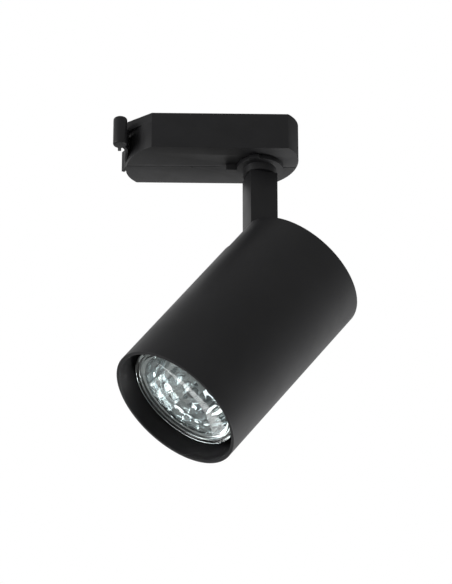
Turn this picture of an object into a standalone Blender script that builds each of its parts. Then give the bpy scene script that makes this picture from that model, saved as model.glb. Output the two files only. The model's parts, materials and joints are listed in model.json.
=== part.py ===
"""Track spotlight: a track adapter, a swivelling square stem and a tilting tube head with a reflector lamp.

Metres, +Z up. The origin is on the adapter's seating face, on the swivel axis. X runs along the track, with the
finger lever at -X, and the adapter's front is at -Y. The lamp's light leaves the head's mouth.
"""

import math

import bmesh
import bpy
from mathutils import Matrix, Vector

GAP = 0.0003  # left between pieces that touch

# Adapter housing
ADAPTER_LEFT = 0.058  # swivel axis to the lever end
ADAPTER_RIGHT = 0.0165  # swivel axis to the plain end
ADAPTER_WIDTH = 0.0305
ADAPTER_HEIGHT = 0.017
CREST = 0.0045  # how far off the centre plane each end reaches furthest
BIG_CORNER = 0.0111  # how much length the two big corners take
SMALL_CORNER = 0.0047
FLANGE_HEIGHT = 0.0043  # top band, whose big corners are cut straight
FLANGE_EASE = 0.0005
FLANGE_FLAT = 0.0117
SHELL_WALL = 0.0018
SEAM_Y = 0.001
BOSS_RADIUS = 0.0029
BOSS_Z = -0.0085
BOSS_X = (-0.044, -0.0118)
LUG_WIDTH = 0.0045
LUG_DEPTH = 0.0016
LUG_DROP = 0.0023
LUG_X = -0.0123

# Seating plate and contact neck
PLATE_THICK = 0.002
NECK_LEFT = -0.044
NECK_RIGHT = -0.008
NECK_WIDTH = 0.0172
NECK_HEIGHT = 0.0034
NECK_WALL = 0.0016
NECK_ROOF = 0.001
NECK_RIB = 0.0008  # half the rib between the neck's two pockets
CONTACT_Z = 0.0011
CONTACT_REACH = 0.0026  # how far a contact stands out of the neck
CONTACT_SIZE = (0.006, 0.0012)
CONTACT_DEPTH = 0.0015  # of the shoulder that keeps a contact in the neck
CONTACT_SHOULDER = (0.0042, 0.001)  # half its length and half its height
CONTACT_TAIL = 0.0004
CONTACT_COIL = 0.0008
CONTACT_TRAVEL = 0.0012
CONTACT_X = -0.018
EARTH_X = -0.035

# Latch
LEVER_PIVOT = (-0.0505, 0.007)
LEVER_PIN_RADIUS = 0.001
LEVER_TOP = -0.0012
LEVER_BOTTOM = -0.0145
LEVER_BOSS_RADIUS = 0.0022
LEVER_ARM = 0.007  # pivot to the peg that drives the lock slide
LEVER_SWING = math.radians(18)
LEVER_WEB_TOP = -0.0049  # the grip passes under the housing's top band
LEVER_GRIP_THICK = 0.0013
GRIP_LINE = (
    (-0.0587, -0.0102), (-0.0579, -0.0086), (-0.0575, -0.0060), (-0.0577, -0.0030), (-0.0577, 0.0),
    (-0.0574, 0.0030), (-0.0574, 0.0060), (-0.0581, 0.0085), (-0.0592, 0.0104),
)
LIP_LINE = ((-0.0606, -0.0110), (-0.0605, -0.0072))
LIP_THICK = 0.0014
LIP_TOP = -0.0024
ROLL_RADIUS = 0.003
ROLL_CENTRE = (-0.0603, -0.0120)
WINDOW_Y = (-0.0032, 0.0130)  # the lever's opening in the housing
WINDOW_Z = (-0.0148, -0.0046)
LOCK_Y = (-0.0065, 0.0005)
LOCK_THICK = 0.0015
LOCK_AHEAD = 0.0025  # lever pivot to the hook
LOCK_LIP = 0.0012
LOCK_TOP = 0.0034
SLIDE_Z = (-0.0052, -0.0040)
SLIDE_TRAVEL = LEVER_ARM * LEVER_SWING

# Swivel
COLLAR_RADIUS = 0.01
COLLAR_THICK = 0.0019
COLLAR_NECK_RADIUS = 0.0073
COLLAR_NECK = 0.0033
TAB_WIDTH = 0.0045
TAB_REACH = 0.0009
TAB_ANGLE = math.radians(-31.2)  # from the stem's front face, about the swivel axis
NIPPLE_RADIUS = 0.004
NIPPLE_BORE = 0.0028
BUSH_RADIUS = 0.0068
BUSH_FLANGE_RADIUS = 0.009
BUSH_FLANGE_THICK = 0.0015
NUT_FLATS = 0.012
NUT_THICK = 0.003
WASHER_THICK = 0.0008

# Stem
STEM_SIZE = 0.012
STEM_BORE = 2 * (NIPPLE_RADIUS + GAP)
PIVOT_DROP = 0.06664  # seating face to the tilt axis

# Head
LAMP_RADIUS = 0.025
TUBE_WALL = 0.0015
TUBE_RADIUS = LAMP_RADIUS + 0.0035 + TUBE_WALL
TUBE_BEHIND_PIVOT = 0.0105
AXIS_OFFSET = 0.0137  # tilt axis to the tube's own axis
SLOT_LENGTH = TUBE_BEHIND_PIVOT + STEM_SIZE / 2 + 0.0005
SLOT_WIDTH = STEM_SIZE + 0.0028
CAP_THICK = 0.0015
MOUNT_PLATE_THICK = 0.0015
BRACKET_WALL = 0.0015
BRACKET_DROP = STEM_SIZE / 2 + 0.001 + BRACKET_WALL  # tilt axis to the bracket's base
TUBE_LENGTH = BRACKET_DROP + 0.082
EAR_RADIUS = 0.0065
BOLT_RADIUS = 0.002
FRICTION_WASHER_RADIUS = 0.0055

# Lamp and its holder
LAMP_RECESS = 0.0068  # mouth to the lamp's front glass
GLASS_THICK = 0.0022
LAMP_LENGTH = 0.0465  # front glass to the end of the base
BOWL_RADIUS = LAMP_RADIUS - 0.0042
BOWL_OPENING = 0.0052
BOWL_DEPTH = 0.0267
BOWL_WALL = 0.0014
RIM_HEIGHT = 0.0025
BASE_RADIUS = 0.0092
PIN_SPACING = 0.01
PIN_RADIUS = 0.0015
PIN_HEAD_RADIUS = 0.0025
PIN_HEAD = 0.0021
PIN_LENGTH = 0.007
CAPSULE_RADIUS = 0.0045
CAPSULE_WALL = 0.0007
CAPSULE_LENGTH = 0.024
HOLDER_RADIUS = 0.012
HOLDER_HEIGHT = 0.0115
TWIST = math.radians(20)  # how far the lamp turns to unlock

# Sides of round pieces
TUBE_STEPS = 64
ROUND_STEPS = 32
SMALL_STEPS = 16

WIRE_RADIUS = 0.0008
SCREW_RADIUS = 0.00125

# How the light stands at rest
PAN = math.radians(15.93)
TILT = math.radians(37.12)

# Heights worked out from the sizes above
UNDERSIDE = -ADAPTER_HEIGHT
FLOOR_TOP = UNDERSIDE + SHELL_WALL
COLLAR_TOP = UNDERSIDE - GAP
DISC_BOTTOM = COLLAR_TOP - COLLAR_THICK
STEM_TOP = DISC_BOTTOM - COLLAR_NECK - GAP
BUSH_FLANGE_TOP = FLOOR_TOP + GAP + BUSH_FLANGE_THICK
BUSH_TOP = BUSH_FLANGE_TOP + 0.003
NUT_BOTTOM = BUSH_TOP + GAP + WASHER_THICK + GAP
BORE_FIT = NIPPLE_RADIUS + GAP
REAR = TUBE_BEHIND_PIVOT
MOUTH = REAR - TUBE_LENGTH
TUBE_BORE = TUBE_RADIUS - TUBE_WALL
LAMP_FRONT = MOUTH + LAMP_RECESS
BASE_END = LAMP_FRONT + LAMP_LENGTH
HOLDER_FRONT = BASE_END + GAP
HOLDER_BACK = HOLDER_FRONT + HOLDER_HEIGHT
PLATE_FRONT = -BRACKET_DROP - GAP - MOUNT_PLATE_THICK


def clear_scene():
    for old in list(bpy.data.objects):
        bpy.data.objects.remove(old)


def collection(name):
    made = bpy.data.collections.new(name)
    bpy.context.scene.collection.children.link(made)
    return made


def look(name, colour, roughness, metallic=0.0):
    made = bpy.data.materials.new(name)
    made.use_nodes = True
    shader = made.node_tree.nodes["Principled BSDF"]
    shader.inputs["Base Color"].default_value = (*colour, 1)
    shader.inputs["Roughness"].default_value = roughness
    shader.inputs["Metallic"].default_value = metallic
    return made


def axis_empty(name, place, turn, parent=None):
    """An empty that carries the pieces of one moving body, on the joint's axis."""
    made = bpy.data.objects.new(name, None)
    made.location = place
    made.rotation_euler = turn
    made.parent = parent
    parts.objects.link(made)
    return made


def add(name, source, frame, finish):
    """Makes an object of a bmesh. With no finish it is a cutter or a helper."""
    bmesh.ops.recalc_face_normals(source, faces=source.faces)
    mesh = bpy.data.meshes.new(name)
    source.to_mesh(mesh)
    source.free()
    made = bpy.data.objects.new(name, mesh)
    made.parent = frame
    if finish:
        mesh.materials.append(finish)
        mesh.shade_smooth()
        mesh.set_sharp_from_angle(angle=math.radians(30))
        parts.objects.link(made)
    else:
        made.hide_render = True
        made.display_type = "WIRE"
        cutters.objects.link(made)
    return made


def block(name, low, high, frame, finish=None):
    low, high = Vector(low), Vector(high)
    source = bmesh.new()
    place = Matrix.Translation((low + high) / 2) @ Matrix.Diagonal((*(high - low), 1))
    bmesh.ops.create_cube(source, size=1, matrix=place)
    return add(name, source, frame, finish)


def rod(name, start, end, radius, frame, finish=None, segments=ROUND_STEPS):
    start, end = Vector(start), Vector(end)
    along = end - start
    place = Matrix.Translation((start + end) / 2) @ along.to_track_quat("Z", "Y").to_matrix().to_4x4()
    source = bmesh.new()
    bmesh.ops.create_cone(
        source, cap_ends=True, segments=segments, radius1=radius, radius2=radius, depth=along.length, matrix=place
    )
    return add(name, source, frame, finish)


def extruded(outline, low, high, turn=None):
    """A bmesh of a flat outline, extruded from low to high along Z and then turned."""
    source = bmesh.new()
    face = source.faces.new([source.verts.new((x, y, low)) for x, y in outline])
    raised = bmesh.ops.extrude_face_region(source, geom=[face])["geom"]
    lifted = [v for v in raised if isinstance(v, bmesh.types.BMVert)]
    bmesh.ops.translate(source, verts=lifted, vec=(0, 0, high - low))
    if turn:
        bmesh.ops.transform(source, matrix=turn, verts=source.verts)
    return source


def prism(name, outline, low, high, frame, finish=None):
    return add(name, extruded(outline, low, high), frame, finish)


def side_prism(name, outline, half_width, frame, finish=None):
    """An outline in X and Z, extruded along Y to half_width each side."""
    upright = Matrix.Rotation(math.pi / 2, 4, "X")
    return add(name, extruded(outline, -half_width, half_width, upright), frame, finish)


def turned(name, profile, frame, finish=None, steps=ROUND_STEPS, place=None):
    """A profile of (radius, height) points turned about Z. It runs down the outer side, and no edge lies on Z."""
    mesh = bpy.data.meshes.new(name)
    count = len(profile)
    pairs = [(i, (i + 1) % count) for i in range(count)]
    edges = [pair for pair in pairs if any(profile[i][0] > 0 for i in pair)]
    mesh.from_pydata([(radius, 0, height) for radius, height in profile], edges, [])
    made = bpy.data.objects.new(name, mesh)
    made.parent = frame
    if place:
        made.matrix_local = place
    screw = made.modifiers.new("turn", "SCREW")
    screw.steps = steps
    screw.render_steps = steps
    screw.use_merge_vertices = True
    screw.merge_threshold = 0.00001
    if finish:
        mesh.materials.append(finish)
        screw.use_smooth_shade = True
        parts.objects.link(made)
    else:
        made.hide_render = True
        made.display_type = "WIRE"
        cutters.objects.link(made)
    return made


def change(operation, body, *others):
    for other in others:
        boolean = body.modifiers.new(other.name, "BOOLEAN")
        boolean.operation = operation
        boolean.solver = "EXACT"
        boolean.object = other
    return body


def cut(body, *others):
    return change("DIFFERENCE", body, *others)


def join(body, *others):
    return change("UNION", body, *others)


def wire(name, route, frame, finish, radius=WIRE_RADIUS):
    """A round lead through a smooth curve of the route's points."""
    path = []
    ends = [route[0], *route, route[-1]]
    for before, start, end, after in zip(ends, ends[1:], ends[2:], ends[3:]):
        before, start, end, after = map(Vector, (before, start, end, after))
        for step in range(2):
            t = step / 2
            path.append(
                0.5 * (2 * start + (end - before) * t + (2 * before - 5 * start + 4 * end - after) * t * t
                       + (3 * start - before - 3 * end + after) * t * t * t)
            )
    path.append(Vector(route[-1]))
    return tube_along(name, path, frame, finish, radius)


def tube_along(name, path, frame, finish, radius):
    curve = bpy.data.curves.new(name, "CURVE")
    curve.dimensions = "3D"
    curve.bevel_depth = radius
    curve.bevel_resolution = 2
    curve.use_fill_caps = True
    spline = curve.splines.new("POLY")
    spline.points.add(len(path) - 1)
    for point, place in zip(spline.points, path):
        point.co = (*place, 1)
    curve.materials.append(finish)
    made = bpy.data.objects.new(name, curve)
    made.parent = frame
    parts.objects.link(made)
    return made


def coil(name, start, end, radius, turns, frame, finish, wire_radius):
    """An open helix between two points."""
    start, end = Vector(start), Vector(end)
    along = (end - start).normalized()
    side = along.orthogonal().normalized()
    other = along.cross(side)
    steps = turns * 8
    path = []
    for i in range(steps + 1):
        angle = 2 * math.pi * turns * i / steps
        path.append(start.lerp(end, i / steps) + radius * (math.cos(angle) * side + math.sin(angle) * other))
    return tube_along(name, path, frame, finish, wire_radius)


def arc(centre, radius, first, last, count):
    return [
        (centre[0] + radius * math.cos(first + (last - first) * i / count),
         centre[1] + radius * math.sin(first + (last - first) * i / count))
        for i in range(count + 1)
    ]


# Adapter --------------------------------------------------------------------------------------------


def end_arc(corner, rise, inset, count=8):
    """Points (back, side) of an end's arc from its crest to a long side, moved inwards by inset."""
    radius = (corner ** 2 + rise ** 2) / (2 * corner) - inset
    sweep = math.asin((rise - inset) / radius)
    return [
        (inset + radius * (1 - math.cos(sweep * i / count)), radius * math.sin(sweep * i / count))
        for i in range(count + 1)
    ]


def straight_corner(back, side):
    """The big corner of the top band at the same distance to the side as the arc's point."""
    rise = ADAPTER_WIDTH / 2 + CREST
    if side <= FLANGE_FLAT:
        return FLANGE_EASE * side / FLANGE_FLAT, side
    share = (side - FLANGE_FLAT) / (rise - FLANGE_FLAT)
    return FLANGE_EASE + share * (BIG_CORNER - FLANGE_EASE), side


def housing_outline(inset=0.0, band=False):
    """The adapter's plan outline. The two ends are the same shape, turned half round."""
    big = end_arc(BIG_CORNER, ADAPTER_WIDTH / 2 + CREST, inset)
    if band:
        big = [straight_corner(*point) for point in big]
    small = end_arc(SMALL_CORNER, ADAPTER_WIDTH / 2 - CREST, inset)
    half = [(ADAPTER_RIGHT - back, -CREST - side) for back, side in reversed(small)]
    half += [(ADAPTER_RIGHT - back, -CREST + side) for back, side in big[1:]]
    middle = ADAPTER_RIGHT - ADAPTER_LEFT
    return half + [(middle - x, -y) for x, y in half]


def housing_solid(name, finish):
    """The closed outer form: the arc-cornered body and the straight-cornered band above it."""
    source = extruded(housing_outline(), UNDERSIDE, -FLANGE_HEIGHT)
    top = max(source.faces, key=lambda face: face.calc_center_median().z)
    raised = bmesh.ops.extrude_face_region(source, geom=[top])["geom"]
    ring = [v for v in raised if isinstance(v, bmesh.types.BMVert)]
    for arc_point, band_point in zip(housing_outline(), housing_outline(band=True)):
        nearest = min(ring, key=lambda v: math.dist(v.co.xy, arc_point))
        nearest.co.xy = band_point
        ring.remove(nearest)
    band = max(source.faces, key=lambda face: (face.calc_center_median().z, face.calc_area()))
    raised = bmesh.ops.extrude_face_region(source, geom=[band])["geom"]
    lifted = [v for v in raised if isinstance(v, bmesh.types.BMVert)]
    bmesh.ops.translate(source, verts=lifted, vec=(0, 0, FLANGE_HEIGHT))
    bmesh.ops.delete(source, geom=[f for f in (top, band) if f.is_valid], context="FACES_ONLY")
    bmesh.ops.remove_doubles(source, verts=source.verts, dist=1e-7)
    return add(name, source, None, finish)


def half_space(name, above):
    far = 0.1
    if above:
        return block(name, (-far, SEAM_Y - GAP / 2, -far), (far, far, far), None)
    return block(name, (-far, -far, -far), (far, SEAM_Y + GAP / 2, far), None)


def add_shells():
    """Two moulded half shells that meet at the seam, with screw bosses across them."""
    cavity = prism("housing_cavity", housing_outline(SHELL_WALL), FLOOR_TOP, 0.001, None)
    swivel_hole = rod("swivel_hole", (0, 0, UNDERSIDE - 0.002), (0, 0, FLOOR_TOP + 0.002), BUSH_RADIUS + GAP,
                      None)
    window = block("lever_window", (-ADAPTER_LEFT - 0.001, WINDOW_Y[0], WINDOW_Z[0]),
                   (LEVER_PIVOT[0] - 0.001, WINDOW_Y[1], WINDOW_Z[1]), None)
    outer = ADAPTER_WIDTH / 2
    seat = outer - 0.0026
    for side, name in ((-1, "adapter_front_shell"), (1, "adapter_back_shell")):
        face = SEAM_Y + side * GAP / 2
        shell = housing_solid(name, black_plastic)
        cut(shell, cavity, half_space(name + "_half", side < 0))
        for index, x in enumerate(BOSS_X):
            join(shell, across_rod(f"{name}_boss{index}", x, face, side * (outer - 0.001), BOSS_RADIUS))
        for index, x in enumerate(BOSS_X):
            bore_end = 0.0025 - outer if side < 0 else outer + 0.001
            cut(shell, across_rod(f"{name}_bore{index}", x, face - side * 0.001, bore_end, SCREW_RADIUS + GAP))
            if side > 0:
                cut(shell, across_rod(f"{name}_head{index}", x, seat, outer + 0.001, 0.0025))
        cut(shell, swivel_hole, window)
        if side < 0:
            low = (LUG_X - LUG_WIDTH / 2, face - LUG_DEPTH, UNDERSIDE - LUG_DROP)
            join(shell, block("stop_lug", low, (LUG_X + LUG_WIDTH / 2, face, UNDERSIDE + 0.001), None))
    for index, x in enumerate(BOSS_X):
        shell_screw(index, x, seat + GAP)


def across_rod(name, x, start, end, radius):
    """A cutter or helper that runs across the housing at the height of its screws."""
    return rod(name, (x, start, BOSS_Z), (x, end, BOSS_Z), radius, None, None, SMALL_STEPS)


def shell_screw(index, x, seat):
    profile = [(0, 0.0019), (0.0016, 0.0019), (0.0021, 0.0012), (0.0021, 0), (SCREW_RADIUS, 0),
               (SCREW_RADIUS, -0.0215), (0.0006, -0.0225), (0, -0.0225)]
    place = Matrix.Translation((x, seat, BOSS_Z)) @ Matrix.Rotation(-math.pi / 2, 4, "X")
    turned(f"shell_screw_{index + 1}", profile, None, zinc, SMALL_STEPS, place)


def add_track_insert():
    """The plate that seats on the track and the hollow neck that goes into it."""
    insert = prism("track_insert", housing_outline(SHELL_WALL + GAP), -PLATE_THICK, 0, None, grey_plastic)
    half = NECK_WIDTH / 2
    neck = block("neck_outside", (NECK_LEFT, -half, -0.001), (NECK_RIGHT, half, NECK_HEIGHT), None)
    inner = half - NECK_WALL
    pockets = []
    for side in (-1, 1):
        low, high = sorted((side * NECK_RIB, side * inner))
        pockets.append(
            block(f"neck_pocket{side}", (NECK_LEFT + NECK_WALL, low, -PLATE_THICK - 0.001),
                  (NECK_RIGHT - NECK_WALL, high, NECK_HEIGHT - NECK_ROOF), None)
        )
    join(insert, neck)
    cut(insert, *pockets)
    for x, sides, tag in ((CONTACT_X, (-1, 1), "pole"), (EARTH_X, (1,), "earth")):
        for side in sides:
            near, far = sorted((side * (inner - 0.001), side * (half + 0.001)))
            width, thick = CONTACT_SIZE[0] / 2 + GAP, CONTACT_SIZE[1] / 2 + GAP
            cut(insert, block(f"{tag}_window{side}", (x - width, near, CONTACT_Z - thick),
                              (x + width, far, CONTACT_Z + thick), None))
    hook_x = LEVER_PIVOT[0] + LOCK_AHEAD
    slot_low = (hook_x - SLIDE_TRAVEL - GAP, LOCK_Y[0] - GAP, -PLATE_THICK - 0.001)
    cut(insert, block("lock_slot", slot_low, (hook_x + LOCK_THICK + GAP, LOCK_Y[1] + GAP, 0.001), None))


def add_contacts():
    """Sprung brass contacts: line and neutral opposite each other, earth further along."""
    half = NECK_WIDTH / 2
    width, thick = CONTACT_SIZE[0] / 2, CONTACT_SIZE[1] / 2
    wide, tall = CONTACT_SHOULDER
    shoulder = half - NECK_WALL - GAP
    foot = shoulder - CONTACT_DEPTH
    tail = NECK_RIB + GAP + CONTACT_TRAVEL
    for name, x, side in (("line", CONTACT_X, -1), ("neutral", CONTACT_X, 1), ("earth", EARTH_X, 1)):
        low, high = sorted((side * foot, side * (half + CONTACT_REACH)))
        contact = block(f"contact_{name}", (x - width, low, CONTACT_Z - thick),
                        (x + width, high, CONTACT_Z + thick), None, brass)
        low, high = sorted((side * foot, side * shoulder))
        join(contact, block(f"{name}_shoulder", (x - wide, low, CONTACT_Z - tall),
                            (x + wide, high, CONTACT_Z + tall), None))
        join(contact, rod(f"{name}_tail", (x, side * (foot + 0.0005), CONTACT_Z), (x, side * tail, CONTACT_Z),
                          CONTACT_TAIL, None, None, SMALL_STEPS))
        coil(f"contact_spring_{name}", (x, side * (NECK_RIB + 2 * GAP), CONTACT_Z),
             (x, side * (foot - CONTACT_TRAVEL - 0.0005), CONTACT_Z), CONTACT_COIL, 3, None, spring_steel, 0.0002)


def add_lever():
    """The C-shaped finger lever, hinged inside the housing's lever end, with a peg that drives the lock slide."""
    grip = band_outline(GRIP_LINE, LEVER_GRIP_THICK / 2)
    lever = prism("latch_lever", grip, LEVER_BOTTOM, LEVER_WEB_TOP, lever_axis, black_plastic)
    roll = rod("lever_roll", (*local(ROLL_CENTRE), LEVER_BOTTOM), (*local(ROLL_CENTRE), LEVER_TOP), ROLL_RADIUS,
               lever_axis, None, SMALL_STEPS)
    lip = prism("lever_lip", band_outline(LIP_LINE, LIP_THICK / 2), LEVER_BOTTOM, LIP_TOP, lever_axis)
    web_x = local(GRIP_LINE[4])[0]
    arm = block("lever_arm", (web_x, -0.0013, -0.0115), (0, 0.0013, -0.0065), lever_axis)
    boss = rod("lever_boss", (0, 0, -0.012), (0, 0, -0.006), LEVER_BOSS_RADIUS, lever_axis, None, SMALL_STEPS)
    inner = block("lever_inner_arm", (-0.0012, -LEVER_ARM - 0.0015, -0.009), (0.0012, 0, -0.0066), lever_axis)
    peg = rod("lever_peg", (0, -LEVER_ARM, -0.008), (0, -LEVER_ARM, -0.0038), 0.001, lever_axis, None,
              SMALL_STEPS)
    join(lever, roll, lip, arm, boss, inner, peg)
    cut(lever, rod("lever_bore", (0, 0, -0.02), (0, 0, 0.01), LEVER_PIN_RADIUS + GAP, lever_axis, None,
                   SMALL_STEPS))
    pin_low, pin_high = FLOOR_TOP + GAP, -PLATE_THICK - GAP
    rod("lever_pin", (*LEVER_PIVOT, pin_low), (*LEVER_PIVOT, pin_high), LEVER_PIN_RADIUS, None, steel,
        SMALL_STEPS)
    coil("lever_spring", (*LEVER_PIVOT, -0.0054), (*LEVER_PIVOT, -0.0028), 0.0017, 3, None, spring_steel,
         0.00022)


def local(point):
    """A point of the adapter's plan, as seen from the lever's axis."""
    return point[0] - LEVER_PIVOT[0], point[1] - LEVER_PIVOT[1]


def band_outline(middle, thick):
    """The outline of a band of even thickness along a line of points, in the lever's own frame."""
    points = [Vector(local(point)) for point in middle]
    left, right = [], []
    for i, point in enumerate(points):
        along = (points[min(i + 1, len(points) - 1)] - points[max(i - 1, 0)]).normalized()
        across = Vector((-along.y, along.x)) * thick
        left.append(tuple(point + across))
        right.append(tuple(point - across))
    return left + right[::-1]


def add_lock_slide():
    """The steel slide that the lever pulls back, and its hook that grips the track."""
    x = LEVER_PIVOT[0]
    low_z, high_z = SLIDE_Z
    peg_y = LEVER_PIVOT[1] - LEVER_ARM
    slide = block("lock_slide", (x - 0.0017, peg_y - 0.0018, low_z), (x + 0.0035, peg_y + 0.0024, high_z),
                  slide_axis, zinc)
    hook_x = x + LOCK_AHEAD
    hook_end = hook_x + LOCK_THICK
    hook = block("lock_hook", (hook_x, LOCK_Y[0], low_z), (hook_end, LOCK_Y[1], LOCK_TOP), slide_axis)
    lip = block("lock_lip", (hook_x, LOCK_Y[0], LOCK_TOP - LOCK_LIP),
                (hook_end + LOCK_LIP, LOCK_Y[1], LOCK_TOP), slide_axis)
    join(slide, hook, lip)
    reach = LEVER_ARM * (1 - math.cos(LEVER_SWING)) + GAP
    cut(slide, block("peg_slot", (x - 0.001 - GAP, peg_y - 0.001 - GAP, low_z - 0.001),
                     (x + 0.001 + GAP, peg_y + 0.001 + reach, high_z + 0.001), slide_axis))


def add_terminal_block():
    """The block in the housing where the contacts' leads meet the stem's leads."""
    low = (-0.037, -0.0095, FLOOR_TOP + GAP)
    high = (-0.0205, 0.0095, -0.0068)
    terminals = block("terminal_block", low, high, None, ceramic)
    way_z, screw_x, screw_radius = -0.0105, -0.029, 0.0013
    for index, y in enumerate((-0.006, 0.0, 0.006)):
        way = rod(f"terminal_way{index}", (low[0] - 0.001, y, way_z), (high[0] + 0.001, y, way_z), 0.0012, None,
                  None, SMALL_STEPS)
        well = rod(f"terminal_well{index}", (screw_x, y, way_z), (screw_x, y, -0.004), screw_radius + GAP, None,
                   None, SMALL_STEPS)
        cut(terminals, way, well)
        screw = rod(f"terminal_screw_{index + 1}", (screw_x, y, -0.009), (screw_x, y, -0.0045), screw_radius,
                    None, brass, SMALL_STEPS)
        slot_low = (screw_x - 0.002, y - 0.0003, -0.0052)
        cut(screw, block(f"terminal_slot{index}", slot_low, (screw_x + 0.002, y + 0.0003, -0.004), None))


def add_adapter_leads():
    """Leads from the three contacts down to the block."""
    y = NECK_WIDTH / 2 - NECK_WALL - 0.0025
    top = CONTACT_Z - CONTACT_SHOULDER[1] - 0.0004
    turn_x = CONTACT_X + 0.0036
    for name, side, way, finish in (("line", -1, -0.006, brown_wire), ("neutral", 1, 0.006, blue_wire)):
        wire(f"contact_lead_{name}", ((turn_x, side * y, top), (turn_x, side * y, -0.0026),
                                      (-0.015, side * 0.0052, -0.0050), (-0.0185, way, -0.0085),
                                      (-0.0196, way, -0.0105), (-0.0235, way, -0.0105)), None, finish)
    turn_x = EARTH_X - 0.0036
    wire("contact_lead_earth", ((turn_x, y, top), (turn_x, y, -0.0022), (-0.0395, 0.003, -0.0045),
                                (-0.0398, 0.0006, -0.0085), (-0.0385, 0, -0.0105), (-0.034, 0, -0.0105)),
         None, earth_wire)


def add_swivel():
    """The bush, washer and nut in the adapter, and the collar and nipple that turn with the stem."""
    bush = [(BUSH_FLANGE_RADIUS, BUSH_FLANGE_TOP), (BUSH_FLANGE_RADIUS, FLOOR_TOP + GAP),
            (BUSH_RADIUS, FLOOR_TOP + GAP), (BUSH_RADIUS, UNDERSIDE + GAP), (BORE_FIT, UNDERSIDE + GAP),
            (BORE_FIT, BUSH_TOP), (BUSH_RADIUS, BUSH_TOP), (BUSH_RADIUS, BUSH_FLANGE_TOP)]
    turned("swivel_bush", bush, None, brass)
    washer_top = BUSH_TOP + GAP + WASHER_THICK
    turned("swivel_washer", ring(0.0068, BORE_FIT, washer_top, BUSH_TOP + GAP), pan, spring_steel)
    nut = rod("swivel_nut", (0, 0, NUT_BOTTOM), (0, 0, NUT_BOTTOM + NUT_THICK), NUT_FLATS / math.sqrt(3), pan,
              zinc, 6)
    cut(nut, rod("nut_bore", (0, 0, -0.03), (0, 0, 0), BORE_FIT, pan))
    nipple_top = NUT_BOTTOM + NUT_THICK + 0.0006
    turned("swivel_nipple", ring(NIPPLE_RADIUS, NIPPLE_BORE, nipple_top, STEM_TOP - 0.009), pan, zinc)
    neck_bottom = STEM_TOP + GAP
    profile = [(COLLAR_RADIUS, COLLAR_TOP), (COLLAR_RADIUS, DISC_BOTTOM), (COLLAR_NECK_RADIUS, DISC_BOTTOM),
               (COLLAR_NECK_RADIUS, neck_bottom), (BORE_FIT, neck_bottom), (BORE_FIT, COLLAR_TOP)]
    collar = turned("swivel_collar", profile, pan, black_coat)
    outer = COLLAR_RADIUS + TAB_REACH
    tab = extruded([(COLLAR_RADIUS - 0.001, -TAB_WIDTH / 2), (outer, -TAB_WIDTH / 2), (outer, TAB_WIDTH / 2),
                    (COLLAR_RADIUS - 0.001, TAB_WIDTH / 2)], DISC_BOTTOM, COLLAR_TOP - 0.0001,
                   Matrix.Rotation(TAB_ANGLE - math.pi / 2, 4, "Z"))
    join(collar, add("collar_tab", tab, pan, None))


def ring(outer, inner, top, bottom):
    """The profile of a plain ring."""
    return [(outer, top), (outer, bottom), (inner, bottom), (inner, top)]


def add_stem():
    """The hollow square stem, round at its lower end about the tilt axis."""
    half = STEM_SIZE / 2
    outline = [(-half, STEM_TOP), (-half, -PIVOT_DROP)]
    outline += arc((0, -PIVOT_DROP), half, math.pi, 2 * math.pi, 12)[1:-1]
    outline += [(half, -PIVOT_DROP), (half, STEM_TOP)]
    stem = side_prism("stem", outline, half, pan, black_coat)
    bore = STEM_BORE / 2
    cut(stem, block("stem_bore", (-bore, -bore, -PIVOT_DROP - 0.02), (bore, bore, STEM_TOP + 0.001), pan))
    cut(stem, rod("stem_bolt_hole", (0, -0.02, -PIVOT_DROP), (0, 0.02, -PIVOT_DROP), BOLT_RADIUS + GAP, pan, None,
                  SMALL_STEPS))
    cut(stem, block("stem_window", (0, -0.003, -PIVOT_DROP + 0.003), (0.02, 0.003, -PIVOT_DROP + 0.008), pan))
    exit_z = -PIVOT_DROP + 0.0055
    leads = (("line", 0.0008, -0.0019, brown_wire), ("neutral", 0.0008, 0.0019, blue_wire),
             ("earth", -0.0010, 0.0, earth_wire))
    for name, x, y, finish in leads:
        wire(f"stem_lead_{name}", ((x, y * 0.7, -0.012), (x, y * 0.7, STEM_TOP - 0.01),
                                   (x * 1.5, y, STEM_TOP - 0.018), (x, y, exit_z + 0.009),
                                   (0.0022, y, exit_z + 0.003), (0.0066, y, exit_z)), pan, finish, 0.0007)


# Head -----------------------------------------------------------------------------------------------


def slot_cutter(name, low, high, inner):
    """Clears the stem's way through the tube's wall or the cap, on the side that the stem swings to."""
    return block(name, (-AXIS_OFFSET - 0.03, -SLOT_WIDTH / 2, low), (inner, SLOT_WIDTH / 2, high), tilt)


def add_tube():
    """The aluminium tube, slotted at the back where the stem comes in, and the cap that closes its back."""
    ease = 0.0003
    profile = [(TUBE_RADIUS - ease, REAR), (TUBE_RADIUS, REAR - ease), (TUBE_RADIUS, MOUTH + ease),
               (TUBE_RADIUS - ease, MOUTH), (TUBE_BORE, MOUTH), (TUBE_BORE, REAR)]
    tube = turned("head_tube", profile, head, black_coat, TUBE_STEPS)
    cut(tube, slot_cutter("tube_slot", REAR - SLOT_LENGTH, REAR + 0.01, 0))
    cap_top = REAR - GAP
    cap = rod("rear_cap", (0, 0, cap_top - CAP_THICK), (0, 0, cap_top), TUBE_BORE - GAP, head, black_coat,
              TUBE_STEPS)
    cut(cap, slot_cutter("cap_slot", cap_top - 0.01, cap_top + 0.01, STEM_SIZE / 2 + 0.0007))


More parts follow.
